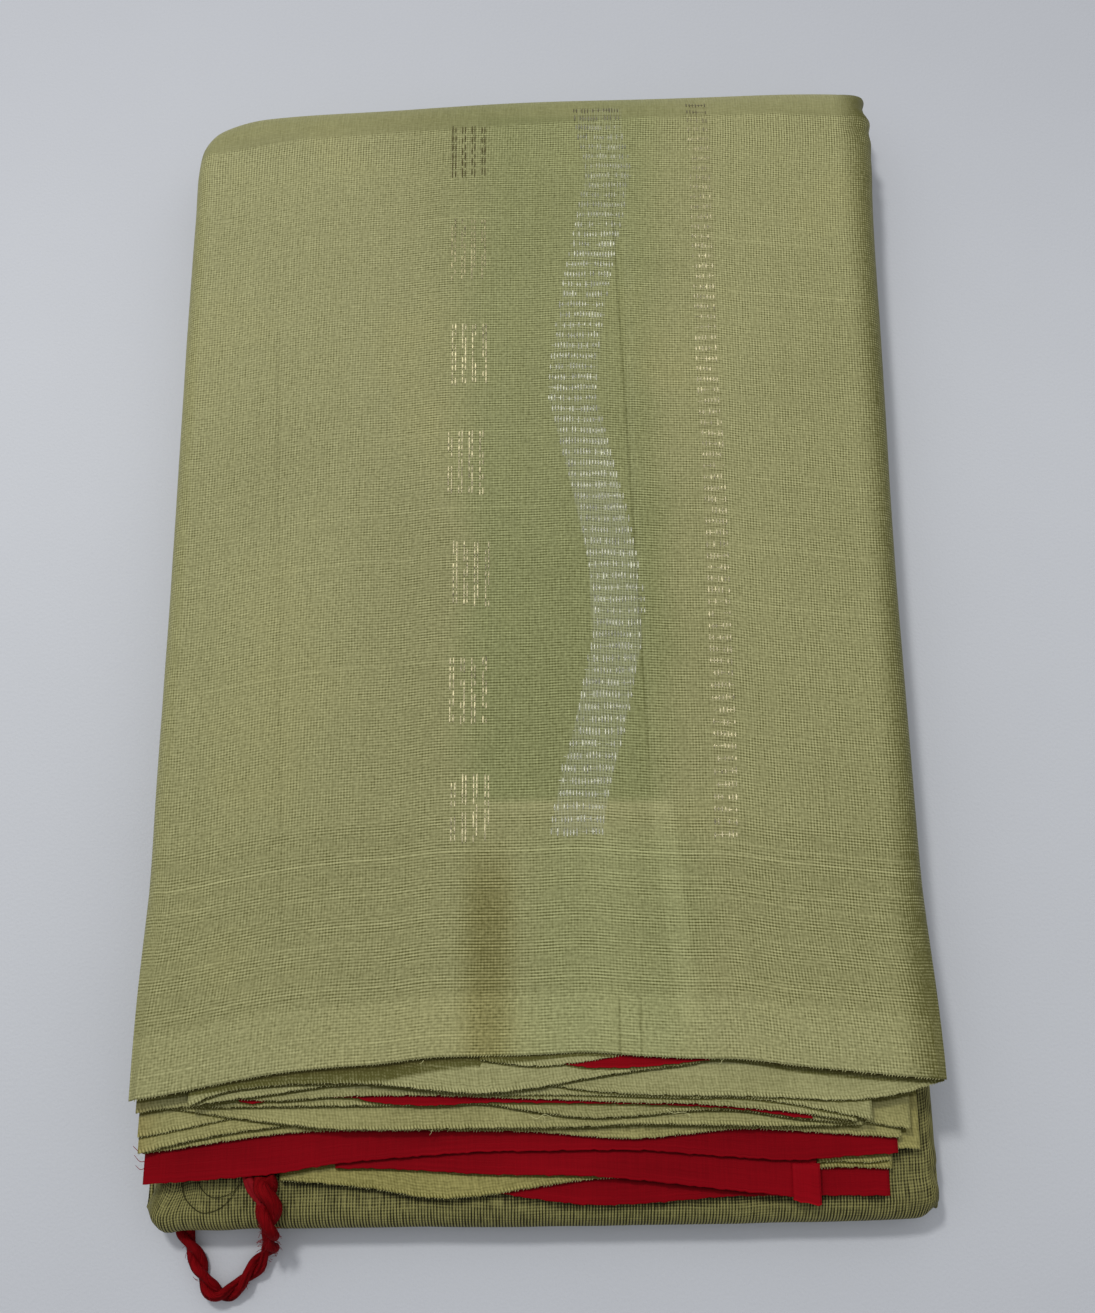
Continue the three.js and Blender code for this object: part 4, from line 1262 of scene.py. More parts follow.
# ------------------------------------------------------------------ the stack of plies

CORE_INSET = 4.6
CORE_BOTTOM = 1.0
# The core's stations along Y. Past CORE_SKEW_FROM they lean as the head line does.
CORE_STATIONS = (-211, -206, -200, -180, -150, -147.6, -120, -60, 0, 60, 120, 170, 190, 198, 203)
CORE_SKEW_FROM = 150.0
CORE_SKEW = 0.21
CORE_CORNER = 4.5
LOOP_PITCH = 1.28
LOOP_DEPTH = 2.3
LOOP_FROM = 5.4
LOOP_TO = 22.0
LOOP_CORNER = 6
RED_LOOPS = (8, 9)
# The folded edges that are pushed out at the notch on the left side.
NOTCH_LOOPS = (9, 10, 11)


def core_ring(y):
    """One section of the core: a box with round corners."""
    high = FOOT_TOP - 0.9 if y < LEAF_BACK else PACK_TOP - 1.2
    at_foot = 0.45 + 0.55 * smooth(y, -217, -203)
    at_head = math.sqrt(max(0.05, 1 - (max(0.0, y - 188) / 18) ** 2))
    middle = (CORE_BOTTOM + high) / 2
    half = (high - CORE_BOTTOM) / 2 * at_foot * at_head
    left, right = left_at(y) + CORE_INSET, right_at(y) - CORE_INSET
    corner = min(CORE_CORNER, half * 0.8)
    ring = []
    for centre_x, centre_z, start in (
        (right - corner, middle - half + corner, -90), (right - corner, middle + half - corner, 0),
        (left + corner, middle + half - corner, 90), (left + corner, middle - half + corner, 180),
    ):
        share = (centre_x - left) / (right - left)
        leaning = CORE_SKEW_FROM + (y - CORE_SKEW_FROM) * (1 - CORE_SKEW + CORE_SKEW * share)
        for angle in np.radians(np.linspace(start, start + 90, 5)):
            ring.append((
                centre_x + corner * math.cos(angle), y if y < CORE_SKEW_FROM else leaning,
                centre_z + corner * math.sin(angle)))
    return ring


def core_body():
    """The middle of the stack, out of sight behind the folded ply edges."""
    rings = np.array([core_ring(y) for y in CORE_STATIONS], float)
    index, _, faces = ring_walls(*rings.shape[:2])
    faces.append(index[0][::-1].tolist())
    faces.append(index[-1].tolist())
    cloth_at = np.stack([rings[:, :, 2], rings[:, :, 1]], -1).reshape(-1, 2)
    return rings.reshape(-1, 3), faces, cloth_at


def loop_body(side, k):
    """One folded ply edge along a side of the pack: the k-th from below, on the side -1 or 1."""
    z = LOOP_FROM + LOOP_PITCH * (k + 0.5)
    shrink = math.sqrt(max(0.02, 1 - ((z - PACK_TOP / 2) / (PACK_TOP / 2 - 1.2)) ** 2))
    edge_x = right_at(190) if side > 0 else left_at(190)
    head_y = float(head_at(edge_x - side * LOOP_CORNER)) - HEAD_NOSE + (HEAD_NOSE - 2.6) * shrink * 0.86
    foot_x = right_at(FOOT_WIDTH_AT) - 8 if side > 0 else left_at(FOOT_WIDTH_AT) + 8
    foot_y = float(foot_at(foot_x)) + 9 if z < FOOT_TOP - 2.6 else LEAF_BACK + 2
    y = np.linspace(foot_y, head_y - LOOP_CORNER, 90)
    inset = 1.55 + 0.55 * swell_at(y * 1.7, 40 * k, side + k * 0.9) + 0.35 * np.sin(y * 0.21 + k * 2.4)
    if side < 0 and k in NOTCH_LOOPS:
        inset = inset - 2.0 * hump(y, 172, 16)
    outer = (right_at(y) if side > 0 else -left_at(y) - pinched(y, z)) - np.maximum(inset, 0.35)
    rise = 0.16 * swell_at(y * 1.3, 25 * k, 2.0)
    line = np.stack([side * (outer - LOOP_DEPTH), y, z + rise], -1)
    return tube(loop_ends(line, side), LOOP_DEPTH, LOOP_PITCH * 0.47, 10)


def loop_ends(line, side):
    """A folded edge's line with its two ends turned in towards the middle of the pack."""
    start = np.linspace(math.pi / 2, 0, 6)[:-1]
    lead = np.stack([
        line[0, 0] - side * 4 * (1 - np.cos(start)), line[0, 1] - 2.5 * np.sin(start),
        line[0, 2] + 0 * start,
    ], -1)
    turn = np.linspace(0, math.pi / 2, 7)[1:]
    corner = np.stack([
        line[-1, 0] - side * LOOP_CORNER * (1 - np.cos(turn)), line[-1, 1] + LOOP_CORNER * np.sin(turn),
        line[-1, 2] + 0 * turn,
    ], -1)
    inward = corner[-1] + np.array([[-side * 6.0, 0.3, 0.0], [-side * 14.0, 0.6, 0.0]])
    return np.concatenate([lead, line, corner, inward])


def stack_plies(cloth):
    """The core and the folded edges round it, with two red plies between the green ones."""
    count = int((LOOP_TO - LOOP_FROM) / LOOP_PITCH)
    light, dark = rgba(cloth.olive_light, 0.86), rgba(cloth.olive_dark, 0.8)
    green = [core_body()]
    red = []
    for side in (-1, 1):
        for k in range(count):
            (red if k in RED_LOOPS else green).append(loop_body(side, k))
    points, faces, cloth_at = joined(green)
    made = make_object("stack_plies", points, faces, cloth_at, [ply_silk("ply_silk", light, dark)])
    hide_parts("folded_stack")
    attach(made, "root")
    points, faces, cloth_at = joined(red)
    made = make_object("red_plies", points, faces, cloth_at, [
        ply_silk("red_ply_silk", rgba(cloth.red, 1.3), rgba(cloth.red, 0.5))])
    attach(made, "root")


# ------------------------------------------------------------------ the fan of free edges

# Rows of a ply from its free edge to its back, as shares of its length.
PLY_SHARES = (0, 0.012, 0.03, 0.06, 0.11, 0.18, 0.28, 0.42, 0.62, 0.82, 1)
PLY_COLUMN = 1.5
SECOND_PLY_DROP = 1.0
# The red tab: left, right, back and free edge, and how far it stands above the leaf below it.
TAB_LEFT = 84.8
TAB_RIGHT = 94
TAB_BACK = -194.5
TAB_EDGE = ((84, 10.6), (86, 10.0), (90, 9.2), (92, 8.6), (94.5, 8.8))
TAB_RISE = 0.5


# A ply of the fan: its piece, the node it stands for, the height of its top, its cloth, sides and free
# edge, whether it is folded into two layers, and how far back it runs.
Ply = namedtuple("Ply", "name node top cloth left right edge layers back", defaults=(1, LEAF_BACK))


def leaf_grid(ply, seed):
    """A ply's outer face from its free edge to the back, and round to a second layer under it."""
    back = ply.back
    columns = max(8, round((ply.right - ply.left) / PLY_COLUMN))
    x = np.linspace(ply.left, ply.right, columns + 1)
    wander = 0.18 * np.sin(x * 0.9 + seed) * np.sin(x * 0.23 + 2 * seed) + 0.12 * np.sin(x * 2.3 + seed)
    free = FOOT_LINE + read(ply.edge, x) + wander
    shares = np.array(PLY_SHARES)[:, None]
    y = free + (back - free) * shares
    own = 0.10 * np.sin(x * 0.11 + seed) * np.sin(x * 0.37 + seed * 3)
    lift = fan_lift(x, y) + own * (1 - shares)
    upper = np.stack([x + 0 * y, y, ply.top + lift], -1)
    cloth_at = np.stack([x + 0 * y, y - free], -1)
    if ply.layers == 1:
        return upper, cloth_at
    inset = 0.9 + 0.8 * np.sin(x * 0.05 + seed * 2) + 0.35 * np.sin(x * 0.31 + seed)
    under_free = free + inset
    y2 = (under_free + (back - under_free) * shares)[::-1]
    lift2 = (fan_lift(x, y2[::-1]) + own * (1 - shares))[::-1]
    lower = np.stack([x + 0 * y2, y2, ply.top - SECOND_PLY_DROP + lift2], -1)
    bend = np.stack([x, 0 * x + back + 0.5, ply.top - SECOND_PLY_DROP / 2 + 0 * x], -1)[None]
    cloth2 = np.stack([x + 0 * y2, y2 - under_free], -1)
    middle = np.stack([x, 0 * x + (back - free) + 0.5], -1)[None]
    return np.concatenate([upper, bend, lower]), np.concatenate([cloth_at, middle, cloth2])


def bare_leaf(ply, material, thickness):
    """One ply as an object, and its grid of points. Its name sets the waves of its edge."""
    seed = sum(map(ord, ply.name)) * 0.37 % 6.28
    grid, cloth_at = leaf_grid(ply, seed)
    under = under_edges(grid[:, :, 0], grid[:, :, 1], ply.top)
    made = make_object(
        ply.name, *shell(grid, cloth_at, thickness), materials=[material], under=under)
    if ply.node:
        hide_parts(ply.node)
    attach(made, "root")
    return made, grid


def leaf_piece(ply, material, thickness):
    """One ply of the fan."""
    made, grid = bare_leaf(ply, material, thickness)
    (ply.right - ply.left) * MM


def fan_of_leaves(cloth):
    """Every leaf, the red tab on the wide red leaf and the thin plies between them."""
    materials = {OLIVE: leaf_silk(cloth), RED: red_silk(cloth, "red_silk")}
    thickness = cloth.ply / MM
    tab_ply = Ply(
        "red_tab_cloth", "red_tab", top_of(2) + TAB_RISE, RED, TAB_LEFT, TAB_RIGHT, TAB_EDGE,
        back=TAB_BACK)
    tab, _ = bare_leaf(tab_ply, red_silk(cloth, "red_tab_silk", 1.22), thickness)
    for name, level, layers, cloth_name, left, right, edge in LEAVES:
        ply = Ply(name + "_cloth", name, top_of(level), cloth_name, left, right, edge, layers)
        carries = [tab] if name == "leaf_red_1" else []
        leaf_piece(ply, materials[cloth_name], thickness * 0.9)
    for name, top, cloth_name, left, right, edge in THIN_PLIES:
        ply = Ply(name + "_cloth", None, top, cloth_name, left, right, edge)
        leaf_piece(ply, materials[cloth_name], thickness * 0.7)


# ------------------------------------------------------------------ stitches, dashes and threads


def guide_object(name, runs):
    """Lines of points in millimetres, as loose edges for Geometry Nodes to follow."""
    points, edges = [], []
    for run in runs:
        start = len(points)
        points += [tuple(float(part) * MM for part in point) for point in run]
        edges += [(k, k + 1) for k in range(start, len(points) - 1)]
    mesh = bpy.data.meshes.new(name)
    mesh.from_pydata(points, edges, [])
    return bpy.data.objects.new(name, mesh)


def new_tree(name, sockets):
    """An empty Geometry Nodes tree with named inputs, its group input and the work on it."""
    tree = bpy.data.node_groups.new(name, "GeometryNodeTree")
    tree.interface.new_socket(name="Geometry", in_out="INPUT", socket_type="NodeSocketGeometry")
    for label, kind in sockets:
        tree.interface.new_socket(name=label, in_out="INPUT", socket_type="NodeSocket" + kind)
    tree.interface.new_socket(name="Geometry", in_out="OUTPUT", socket_type="NodeSocketGeometry")
    work = NodeWork(tree)
    return tree, work, work.node("NodeGroupInput").outputs


def grown(guide, tree, inputs):
    """The plain mesh that a Geometry Nodes tree makes of a guide, in place of the guide."""
    modifier = guide.modifiers.new(tree.name, "NODES")
    modifier.node_group = tree
    for item in tree.interface.items_tree:
        if item.in_out == "INPUT" and item.name in inputs:
            modifier[item.identifier] = inputs[item.name]
    bpy.context.scene.collection.objects.link(guide)
    graph = bpy.context.evaluated_depsgraph_get()
    mesh = bpy.data.meshes.new_from_object(guide.evaluated_get(graph), depsgraph=graph)
    guide.modifiers.clear()
    guide.data = mesh
    mesh.polygons.foreach_set("use_smooth", np.ones(len(mesh.polygons), bool))
    if not len(mesh.polygons):
        raise RuntimeError(guide.name + " came out empty")
    return guide


def spaced_points(work, given):
    """The guide lines as curves, with a point at every pitch."""
    line = work.node("GeometryNodeMeshToCurve", {0: given["Geometry"]})
    spaced = work.node(
        "GeometryNodeResampleCurve", {"Curve": line.outputs[0], "Length": given["Pitch"]}, mode="LENGTH")
    return spaced.outputs[0]


def scatter_beads(work, given, points, turned, segments):
    """A thin oval bead at each point, its size a little different each time, with some missing."""
    ball = work.node("GeometryNodeMeshUVSphere", {"Segments": segments, "Rings": 4, "Radius": 0.5})
    wobble = work.node(
        "FunctionNodeRandomValue",
        {0: (0.8, 0.65, 0.8), 1: (1.15, 1.25, 1.15), "Seed": given["Seed"]}, data_type="FLOAT_VECTOR")
    size = work.node("ShaderNodeCombineXYZ", {0: given["Width"], 1: given["Length"], 2: given["Height"]})
    scaled = work.node(
        "ShaderNodeVectorMath", {0: size.outputs[0], 1: wobble.outputs[0]}, operation="MULTIPLY")
    kept = work.node(
        "FunctionNodeRandomValue", {"Probability": given["Kept"], "Seed": given["Seed"]},
        data_type="BOOLEAN")
    placed = work.node("GeometryNodeInstanceOnPoints", {
        "Points": points, "Selection": kept.outputs[3], "Instance": ball.outputs[0],
        "Rotation": turned, "Scale": scaled.outputs[0]})
    real = work.node("GeometryNodeRealizeInstances", {0: placed.outputs[0]})
    done = work.node(
        "GeometryNodeSetMaterial", {"Geometry": real.outputs[0], "Material": given["Thread"]})
    work.node("NodeGroupOutput", {0: done.outputs[0]})


def dash_tree():
    """Dashes of thread laid on a cloth along guide lines, with some of them missing."""
    tree, work, given = new_tree("Woven Dashes", (
        ("Cloth", "Object"), ("Pitch", "Float"), ("Length", "Float"), ("Width", "Float"),
        ("Height", "Float"), ("Lift", "Float"), ("Kept", "Float"), ("Seed", "Int"), ("Thread", "Material")))
    spaced = spaced_points(work, given)
    under = work.node("GeometryNodeObjectInfo", {"Object": given["Cloth"]}).outputs["Geometry"]
    here = work.node("GeometryNodeInputPosition").outputs[0]
    facing = work.node("GeometryNodeInputNormal").outputs[0]
    spot, normal = [
        work.node(
            "GeometryNodeSampleNearestSurface", {"Mesh": under, "Value": value, "Sample Position": here},
            data_type="FLOAT_VECTOR").outputs[0]
        for value in (here, facing)]
    raised = work.node("ShaderNodeVectorMath", {0: normal, "Scale": given["Lift"]}, operation="SCALE")
    target = work.node("ShaderNodeVectorMath", {0: spot, 1: raised.outputs[0]}, operation="ADD")
    stored = work.node("GeometryNodeCaptureAttribute", {"Geometry": spaced})
    stored.capture_items.new("VECTOR", "Facing")
    work.tree.links.new(normal, stored.inputs[1])
    laid = work.node(
        "GeometryNodeSetPosition", {"Geometry": stored.outputs[0], "Position": target.outputs[0]})
    turned = work.node("FunctionNodeAlignRotationToVector", {"Vector": stored.outputs[1]}, axis="Z")
    scatter_beads(work, given, laid.outputs[0], turned.outputs[0], 6)
    return tree


def stitch_tree():
    """Slanted weft ends along a free edge."""
    tree, work, given = new_tree("Selvedge Ends", (
        ("Pitch", "Float"), ("Length", "Float"), ("Width", "Float"), ("Height", "Float"),
        ("Slant", "Float"), ("Kept", "Float"), ("Seed", "Int"), ("Thread", "Material")))
    spaced = spaced_points(work, given)
    ahead = work.node("GeometryNodeInputTangent").outputs[0]
    along = work.node("FunctionNodeAlignRotationToVector", {"Vector": ahead}, axis="X", pivot_axis="Z")
    jitter = work.node(
        "FunctionNodeRandomValue", {2: -0.35, 3: 0.35, "Seed": given["Seed"]}, data_type="FLOAT")
    slant = work.node("ShaderNodeMath", {0: jitter.outputs[1], 1: given["Slant"]}, operation="ADD")
    lean = work.node("ShaderNodeCombineXYZ", {2: slant.outputs[0]})
    turned = work.node("FunctionNodeRotateRotation", {
        0: along.outputs[0], 1: lean.outputs[0]}, rotation_space="LOCAL")
    scatter_beads(work, given, spaced, turned.outputs[0], 5)
    return tree


def above_panel(x, y):
    """A height a little above the top panel, for guide lines that are laid on it."""
    past = np.maximum(0, y - (head_at(x) - HEAD_NOSE))
    return PACK_TOP / 2 + PACK_TOP / 2 * np.sqrt(np.maximum(0, 1 - (past / HEAD_NOSE) ** 2)) + 0.5


def mark_rows(low, high, middle_at, width):
    """The rows of a band of marks, each a little bowed."""
    rows = []
    for k, y in enumerate(np.arange(low, high, ROW_PITCH)):
        middle = float(read(middle_at, y))
        x = np.linspace(middle - width / 2, middle + width / 2, 9)
        bowed = y + 0.25 * np.sin(x * 0.4 + k)
        rows.append(np.stack([x, bowed, above_panel(x, bowed)], -1))
    return rows


def motif_runs(motifs):
    """The lines of metal thread of some of the small oblong figures."""
    runs = []
    for k, (low, high, middle) in enumerate(motifs):
        for place in MOTIF_LINES:
            late = 0.7 * math.sin(7.3 * k + 5.1 * place)
            y = np.linspace(low + late, high, 12)
            x = middle + place - MOTIF_LEAN * (y - (low + high) / 2)
            runs.append(np.stack([x, y, above_panel(x, y)], -1))
    return runs


def zari_marks(zari_set):
    """The silver band, the gold column and the small motifs, as dashes laid on the top panel."""
    tree = dash_tree()
    silver, gold = [
        zari(name, colour, ZARI_DARK_FROM)
        for name, colour in (("silver_zari", zari_set.silver), ("gold_zari", zari_set.gold))]
    motif_gold = zari("motif_zari", zari_set.gold, MOTIF_DARK_FROM, 0.2)
    band_rows = mark_rows(BAND_FOOT, BAND_HEAD, BAND_MIDDLE, BAND_WIDTH)
    column_rows = mark_rows(COLUMN_FOOT, COLUMN_HEAD, COLUMN_MIDDLE, COLUMN_WIDTH)
    dashes = {
        "Cloth": bpy.data.objects["panel_cloth"], "Pitch": zari_set.dash_pitch,
        "Length": zari_set.dash_length, "Width": zari_set.dash_width, "Height": 0.00022,
        "Lift": 0.00003, "Kept": 0.78, "Seed": zari_set.seed,
    }
    # Fine threads across a row join its dashes.
    links = {**dashes, "Pitch": 0.0009, "Width": 0.0012, "Height": 0.00012, "Lift": 0.0}
    for name, runs, sizes, changed in (
        ("silver_band", band_rows, dashes, {"Thread": silver}),
        ("silver_links", band_rows, links, {
            "Length": 0.00024, "Kept": 0.50, "Seed": zari_set.seed + 2, "Thread": silver}),
        ("gold_column", column_rows, dashes, {
            "Length": zari_set.dash_length * 0.9, "Thread": gold}),
        ("gold_links", column_rows, links, {
            "Length": 0.00028, "Kept": 0.62, "Seed": zari_set.seed + 4, "Thread": gold}),
        ("gold_motifs", motif_runs(MOTIFS[1:]), dashes, {
            "Pitch": 0.0026, "Length": 0.0033, "Width": 0.00060, "Kept": 0.84, "Thread": motif_gold}),
        ("dark_motif", motif_runs(MOTIFS[:1]), dashes, {
            "Pitch": 0.0040, "Length": 0.0043, "Width": 0.00050, "Kept": 1.0, "Thread": motif_gold}),
    ):
        piece = grown(guide_object(name, runs), tree, {**sizes, **changed})
        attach(piece, "root")


EDGE_STEP = 3.0


def edge_line(edge, left, right, z):
    """A guide line along a free edge."""
    x = np.linspace(left, right, max(3, round((right - left) / EDGE_STEP)))
    y = FOOT_LINE + read(edge, x)
    return np.stack([x, y, z + fan_lift(x, y)], -1)


def selvedge_ends(cloth):
    """The weft ends of every olive free edge."""
    material = fine_thread(
        "weft_ends", rgba(cloth.olive_dark, 1.6), rgba(cloth.olive_light, 1.35), 0.6, 0.25)
    runs = [edge_line(PANEL_EDGE, -130, 133, PACK_TOP - 0.2)]
    for name, level, layers, cloth_name, left, right, edge in LEAVES:
        if cloth_name == OLIVE:
            runs.append(edge_line(edge, left + 0.5, right - 0.5, top_of(level) - 0.18))
    for name, top, cloth_name, left, right, edge in THIN_PLIES:
        if cloth_name == OLIVE:
            runs.append(edge_line(edge, left + 0.5, right - 0.5, top - 0.12))
    made = grown(guide_object("selvedge_ends", runs), stitch_tree(), {
        "Pitch": 0.00095, "Length": 0.00105, "Width": 0.00030, "Height": 0.00026, "Slant": -0.45,
        "Kept": 0.78, "Seed": 11, "Thread": material})
    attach(made, "root")


# ------------------------------------------------------------------ cord and loose threads

LINE_STEP = 0.5
FUZZ_SEED = 5
FUZZ_COUNT = 150
# Share of the hairs that stand on the cord's first stretch, which has this many steps.
FUZZY_SHARE = 0.45
FUZZY_STEPS = 60
HAIR_HALF = 0.07
# Each strand's radius and its distance from the cord's middle, as shares of the cord's thickness.
STRAND_RADIUS = 0.27
STRAND_OFFSET = 0.235
# Loose yarn that spreads out where the cord leaves the red leaf: X and Z where it starts, half width.
TUFT = ((-96.0, 16.2, 1.1), (-94.2, 16.9, 1.5), (-92.4, 17.2, 1.7))


def tuft_bodies():
    """The loose yarn at the cord's exit."""
    bodies = []
    for k, (start_x, start_z, half) in enumerate(TUFT):
        run = [(start_x, -198.0 - k, start_z), (start_x + 2.4, -203.0, 17.6), (-89.4, -207.5 - k, 18.2)]
        points = smooth_line(run, LINE_STEP)
        width = half * (1 - 0.6 * np.linspace(0, 1, len(points)) ** 2)
        bodies.append(tube(points, width, width, 8))
    return bodies


def fuzz_bodies(cord):
    """Short hairs that stand off the cord, longer and closer near its exit."""
    bodies = []
    chance = np.random.default_rng(FUZZ_SEED)
    line = smooth_line(CORD_ROUTE, LINE_STEP)
    up, side = travel_frames(line)
    for k in range(FUZZ_COUNT):
        near = k < FUZZ_COUNT * FUZZY_SHARE
        at = int(chance.integers(4, FUZZY_STEPS if near else len(line) - 2))
        angle = chance.uniform(0.0, math.pi)
        out = up[at] * math.sin(angle) + side[at] * math.cos(angle)
        reach = chance.uniform(1.0, 3.2) if near else chance.uniform(0.6, 1.8)
        lean = (line[min(at + 1, len(line) - 1)] - line[at - 1]) * chance.uniform(-2.5, 2.5)
        start = line[at] + out * (cord.thickness / MM) * (0.42 if near else 0.36)
        run = [start, start + out * reach * 0.5 + lean * 0.4, start + out * reach * 0.8 + lean]
        points = smooth_line(run, 0.6)
        points[:, 2] = np.maximum(points[:, 2], 0.2)
        bodies.append(tube(points, HAIR_HALF, HAIR_HALF, 4))
    return bodies


def loose_threads(cloth, cord):
    """Stray threads on the foot fold and frayed ends along the free edges."""
    colours = {
        "brown": rgba(cloth.foot_dark, 1.5), "red": rgba(cloth.red),
        "green": rgba(cloth.olive_light, 1.25),
    }
    parts = {name: [] for name in colours}
    for name, half, run in LOOSE_THREADS:
        line = smooth_line(run, LINE_STEP)
        taper = 1 - 0.5 * np.linspace(0, 1, len(line))
        parts[name].append(tube(line, half * taper, half * taper, 5))
    parts["red"] += tuft_bodies() + fuzz_bodies(cord)
    for name, bodies in parts.items():
        colour = colours[name][:3]
        material = fine_thread(name + "_strand", rgba(colour, 0.7), rgba(colour, 1.25), 0.7, 0.1)
        made = make_object(name + "_threads", *joined(bodies), [material])
        "red_cord" if name == "red" else OLIVE
        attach(made, "root")


def twisted_cord(cord):
    """The cord's two strands, wound round its middle line."""
    line = smooth_line(CORD_ROUTE, LINE_STEP)
    far = run_length(line)
    up, side = travel_frames(line)
    # The cord is thickest just past its exit, where the strands spread.
    swell = 1 + 0.66 * hump(far, 4, 11) + 0.10 * np.sin(far * 0.7) * np.sin(far * 0.23)
    thick = cord.thickness / MM
    strands = []
    for k in range(2):
        angle = far * (2 * math.pi / (cord.twist / MM)) + k * math.pi
        radius = thick * STRAND_RADIUS * swell
        offset = thick * STRAND_OFFSET * swell * np.minimum(1, 0.4 + far / 8)
        middle = (
            line + up * (offset * np.sin(angle))[:, None] + side * (offset * np.cos(angle))[:, None])
        middle[:, 2] = np.maximum(middle[:, 2], radius + 0.05)
        strands.append(tube(middle, radius, radius * 0.94, 12))
    points, faces, cloth_at = joined(strands)
    made = make_object("twisted_cord", points, faces, cloth_at, [red_thread(cord)])
    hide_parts("tassel_cord")
    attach(made, "root")


# ------------------------------------------------------------------ stage

CAMERA_AT = (0.0042, -0.1316, 0.4432)
CAMERA_TILT = 14.476
CAMERA_LENS = 32.9
CAMERA_SENSOR = 36
LAMP_AT = (-0.42, 0.70, 1.25)
LAMP_SIZE = 0.18
LAMP_COLOUR = (1.0, 0.99, 0.97)
TABLE_HALF = 2.5
# The room's light, towards the front and towards the back.
ROOM_FRONT = (0.52, 0.53, 0.55, 1)
ROOM_BACK = (1.22, 1.24, 1.27, 1)


def stage_camera():
    """The camera above the pack, tilted a little towards the head fold."""
    data = bpy.data.cameras.new("camera")
    data.lens = CAMERA_LENS
    data.sensor_width = CAMERA_SENSOR
    camera = bpy.data.objects.new("camera", data)
    camera.location = CAMERA_AT
    camera.rotation_euler = (math.radians(CAMERA_TILT), 0, 0)
    bpy.context.scene.collection.objects.link(camera)
    bpy.context.scene.camera = camera


def stage_lamp(stage):
    """A lamp high up behind the head fold, on the left."""
    data = bpy.data.lights.new("overhead", "AREA")
    data.shape = "SQUARE"
    data.size = LAMP_SIZE
    data.energy = stage.key
    data.color = LAMP_COLOUR
    lamp = bpy.data.objects.new("overhead", data)
    lamp.location = LAMP_AT
    lamp.rotation_euler = (-Vector(LAMP_AT)).to_track_quat("-Z", "Y").to_euler()
    bpy.context.scene.collection.objects.link(lamp)


def stage_table(stage):
    """The table top that the pack lies on."""
    half = TABLE_HALF
    mesh = bpy.data.meshes.new("table_top")
    mesh.from_pydata(
        [(-half, -half, 0), (half, -half, 0), (half, half, 0), (-half, half, 0)], [], [(0, 1, 2, 3)])
    mesh.materials.append(floor_paint(stage))
    top = bpy.data.objects.new("table_top", mesh)
    bpy.context.scene.collection.objects.link(top)


def stage_room(stage):
    """Soft light from all round, brighter towards the head fold."""
    world = bpy.data.worlds.new("soft_room")
    world.use_nodes = True
    work = NodeWork(world.node_tree)
    ground = world.node_tree.nodes["Background"]
    ground.inputs["Strength"].default_value = stage.ambient
    towards = work.node("ShaderNodeTexCoord").outputs["Generated"]
    split = work.node("ShaderNodeSeparateXYZ", {0: towards})
    side = work.node("ShaderNodeMapRange", {"Value": split.outputs[1], "From Min": -0.9, "From Max": 0.9})
    sky = work.node("ShaderNodeMix", {0: side.outputs[0], 6: ROOM_FRONT, 7: ROOM_BACK}, data_type="RGBA")
    world.node_tree.links.new(sky.outputs[2], ground.inputs["Color"])
    bpy.context.scene.world = world
    bpy.context.scene.view_settings.view_transform = "Standard"


# ------------------------------------------------------------------ operators


class SAREE_OT_stage(Operator):
    """Set the camera, the table top and the light"""

    bl_idname = "saree.stage"
    bl_label = "Stage"

    def execute(self, context):
        settings = context.scene.saree_stage
        stage_camera()
        stage_table(settings)
        stage_room(settings)
        stage_lamp(settings)
        return {"FINISHED"}


class SAREE_OT_cord(Operator):
    """Twist the red cord along its route"""

    bl_idname = "saree.cord"
    bl_label = "Twisted cord"

    def execute(self, context):
        twisted_cord(context.scene.saree_cord)
        return {"FINISHED"}


class SAREE_OT_stack(Operator):
    """Lay the hidden plies and their folded edges"""

    bl_idname = "saree.stack"
    bl_label = "Stack of plies"

    def execute(self, context):
        stack_plies(context.scene.saree_cloth)
        return {"FINISHED"}


class SAREE_OT_wrap(Operator):
    """Wrap the foot fold and the top panel round the stack"""

    bl_idname = "saree.wrap"
    bl_label = "Wrapping cloth"

    def execute(self, context):
        foot_cloth(context.scene.saree_cloth)
        panel_cloth(context.scene.saree_cloth)
        return {"FINISHED"}


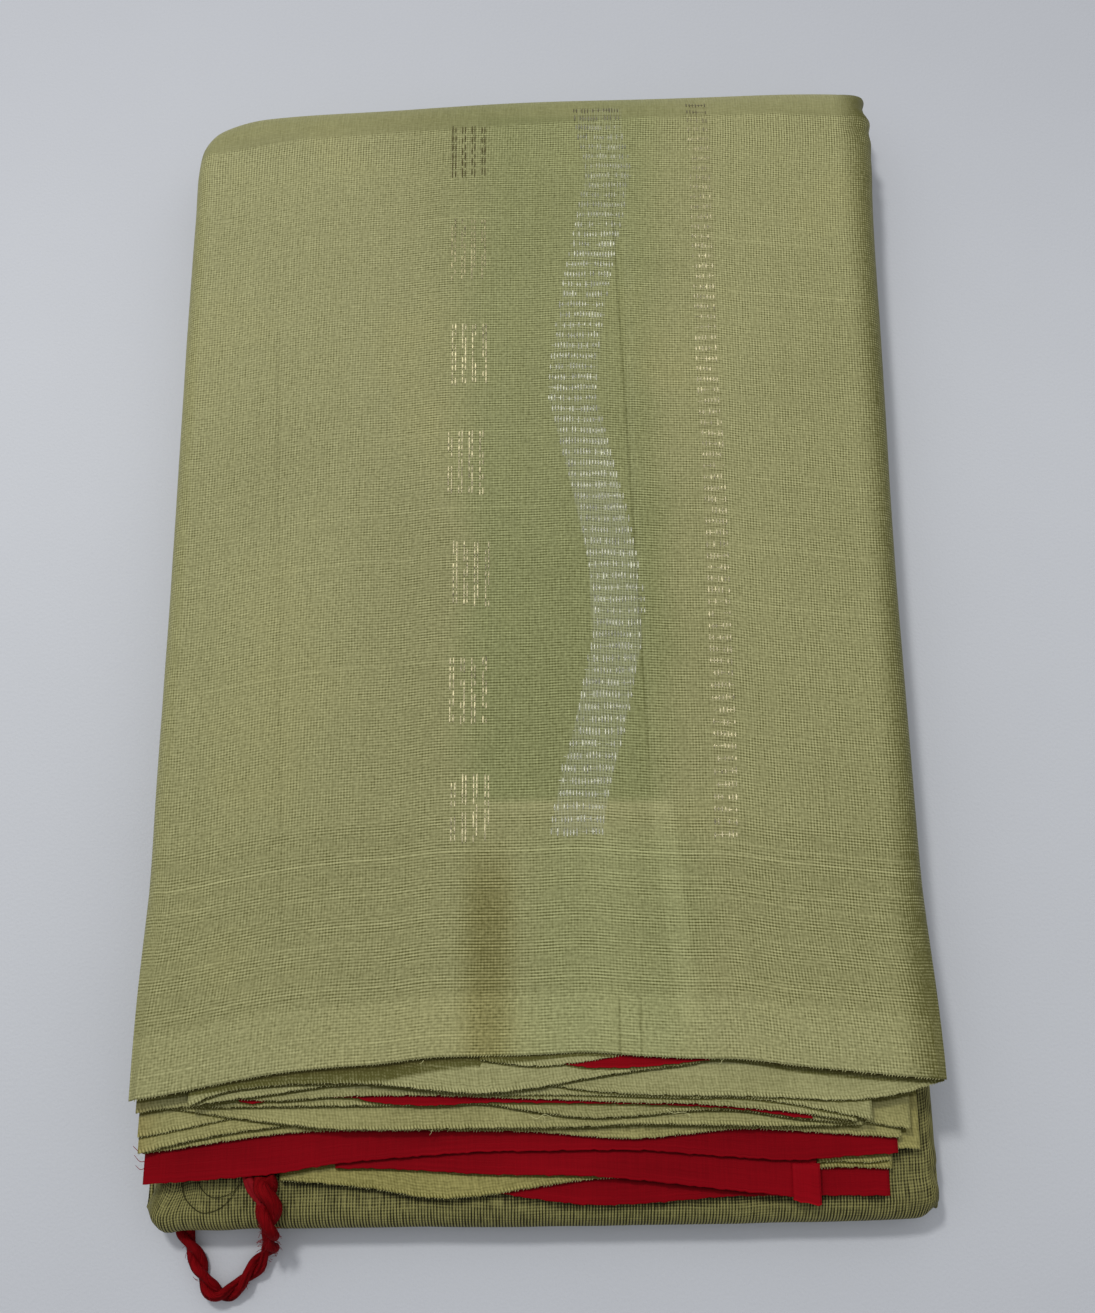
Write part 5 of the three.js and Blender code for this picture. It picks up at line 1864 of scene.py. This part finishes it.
class SAREE_OT_fan(Operator):
    """Fan out the free edges above the foot fold"""

    bl_idname = "saree.fan"
    bl_label = "Free edges"

    def execute(self, context):
        fan_of_leaves(context.scene.saree_cloth)
        return {"FINISHED"}


class SAREE_OT_threads(Operator):
    """Add the weft ends along the free edges and the loose threads"""

    bl_idname = "saree.threads"
    bl_label = "Weft ends and loose threads"

    def execute(self, context):
        selvedge_ends(context.scene.saree_cloth)
        loose_threads(context.scene.saree_cloth, context.scene.saree_cord)
        return {"FINISHED"}


class SAREE_OT_zari(Operator):
    """Weave the zari dashes into the top panel"""

    bl_idname = "saree.zari"
    bl_label = "Zari"

    def execute(self, context):
        zari_marks(context.scene.saree_zari)
        return {"FINISHED"}


STEPS = (
    SAREE_OT_stage, SAREE_OT_cord, SAREE_OT_stack, SAREE_OT_wrap, SAREE_OT_fan, SAREE_OT_threads,
    SAREE_OT_zari,
)
SETTINGS = (
    ("saree_cloth", ClothSettings), ("saree_zari", ZariSettings), ("saree_cord", CordSettings),
    ("saree_stage", StageSettings),
)


class SAREE_PT_panel(Panel):
    """The saree's pieces and settings"""

    bl_label = "Folded Saree"
    bl_idname = "SAREE_PT_panel"
    bl_space_type = "VIEW_3D"
    bl_region_type = "UI"
    bl_category = "Saree"

    def draw(self, context):
        for step in STEPS:
            self.layout.operator(step.bl_idname)
        for name, group in SETTINGS:
            box = self.layout.box()
            for setting in group.__annotations__:
                box.prop(getattr(context.scene, name), setting)


def register():
    for name, group in SETTINGS:
        bpy.utils.register_class(group)
        setattr(bpy.types.Scene, name, PointerProperty(type=group))
    for step in STEPS:
        bpy.utils.register_class(step)
    bpy.utils.register_class(SAREE_PT_panel)


def unregister():
    bpy.utils.unregister_class(SAREE_PT_panel)
    for step in reversed(STEPS):
        bpy.utils.unregister_class(step)
    for name, group in reversed(SETTINGS):
        delattr(bpy.types.Scene, name)
        bpy.utils.unregister_class(group)


def main():
    register()
    bpy.ops.saree.stage()
    bpy.ops.saree.cord()
    bpy.ops.saree.stack()
    bpy.ops.saree.wrap()
    bpy.ops.saree.fan()
    bpy.ops.saree.threads()
    bpy.ops.saree.zari()


if __name__ == "__main__":
    main()
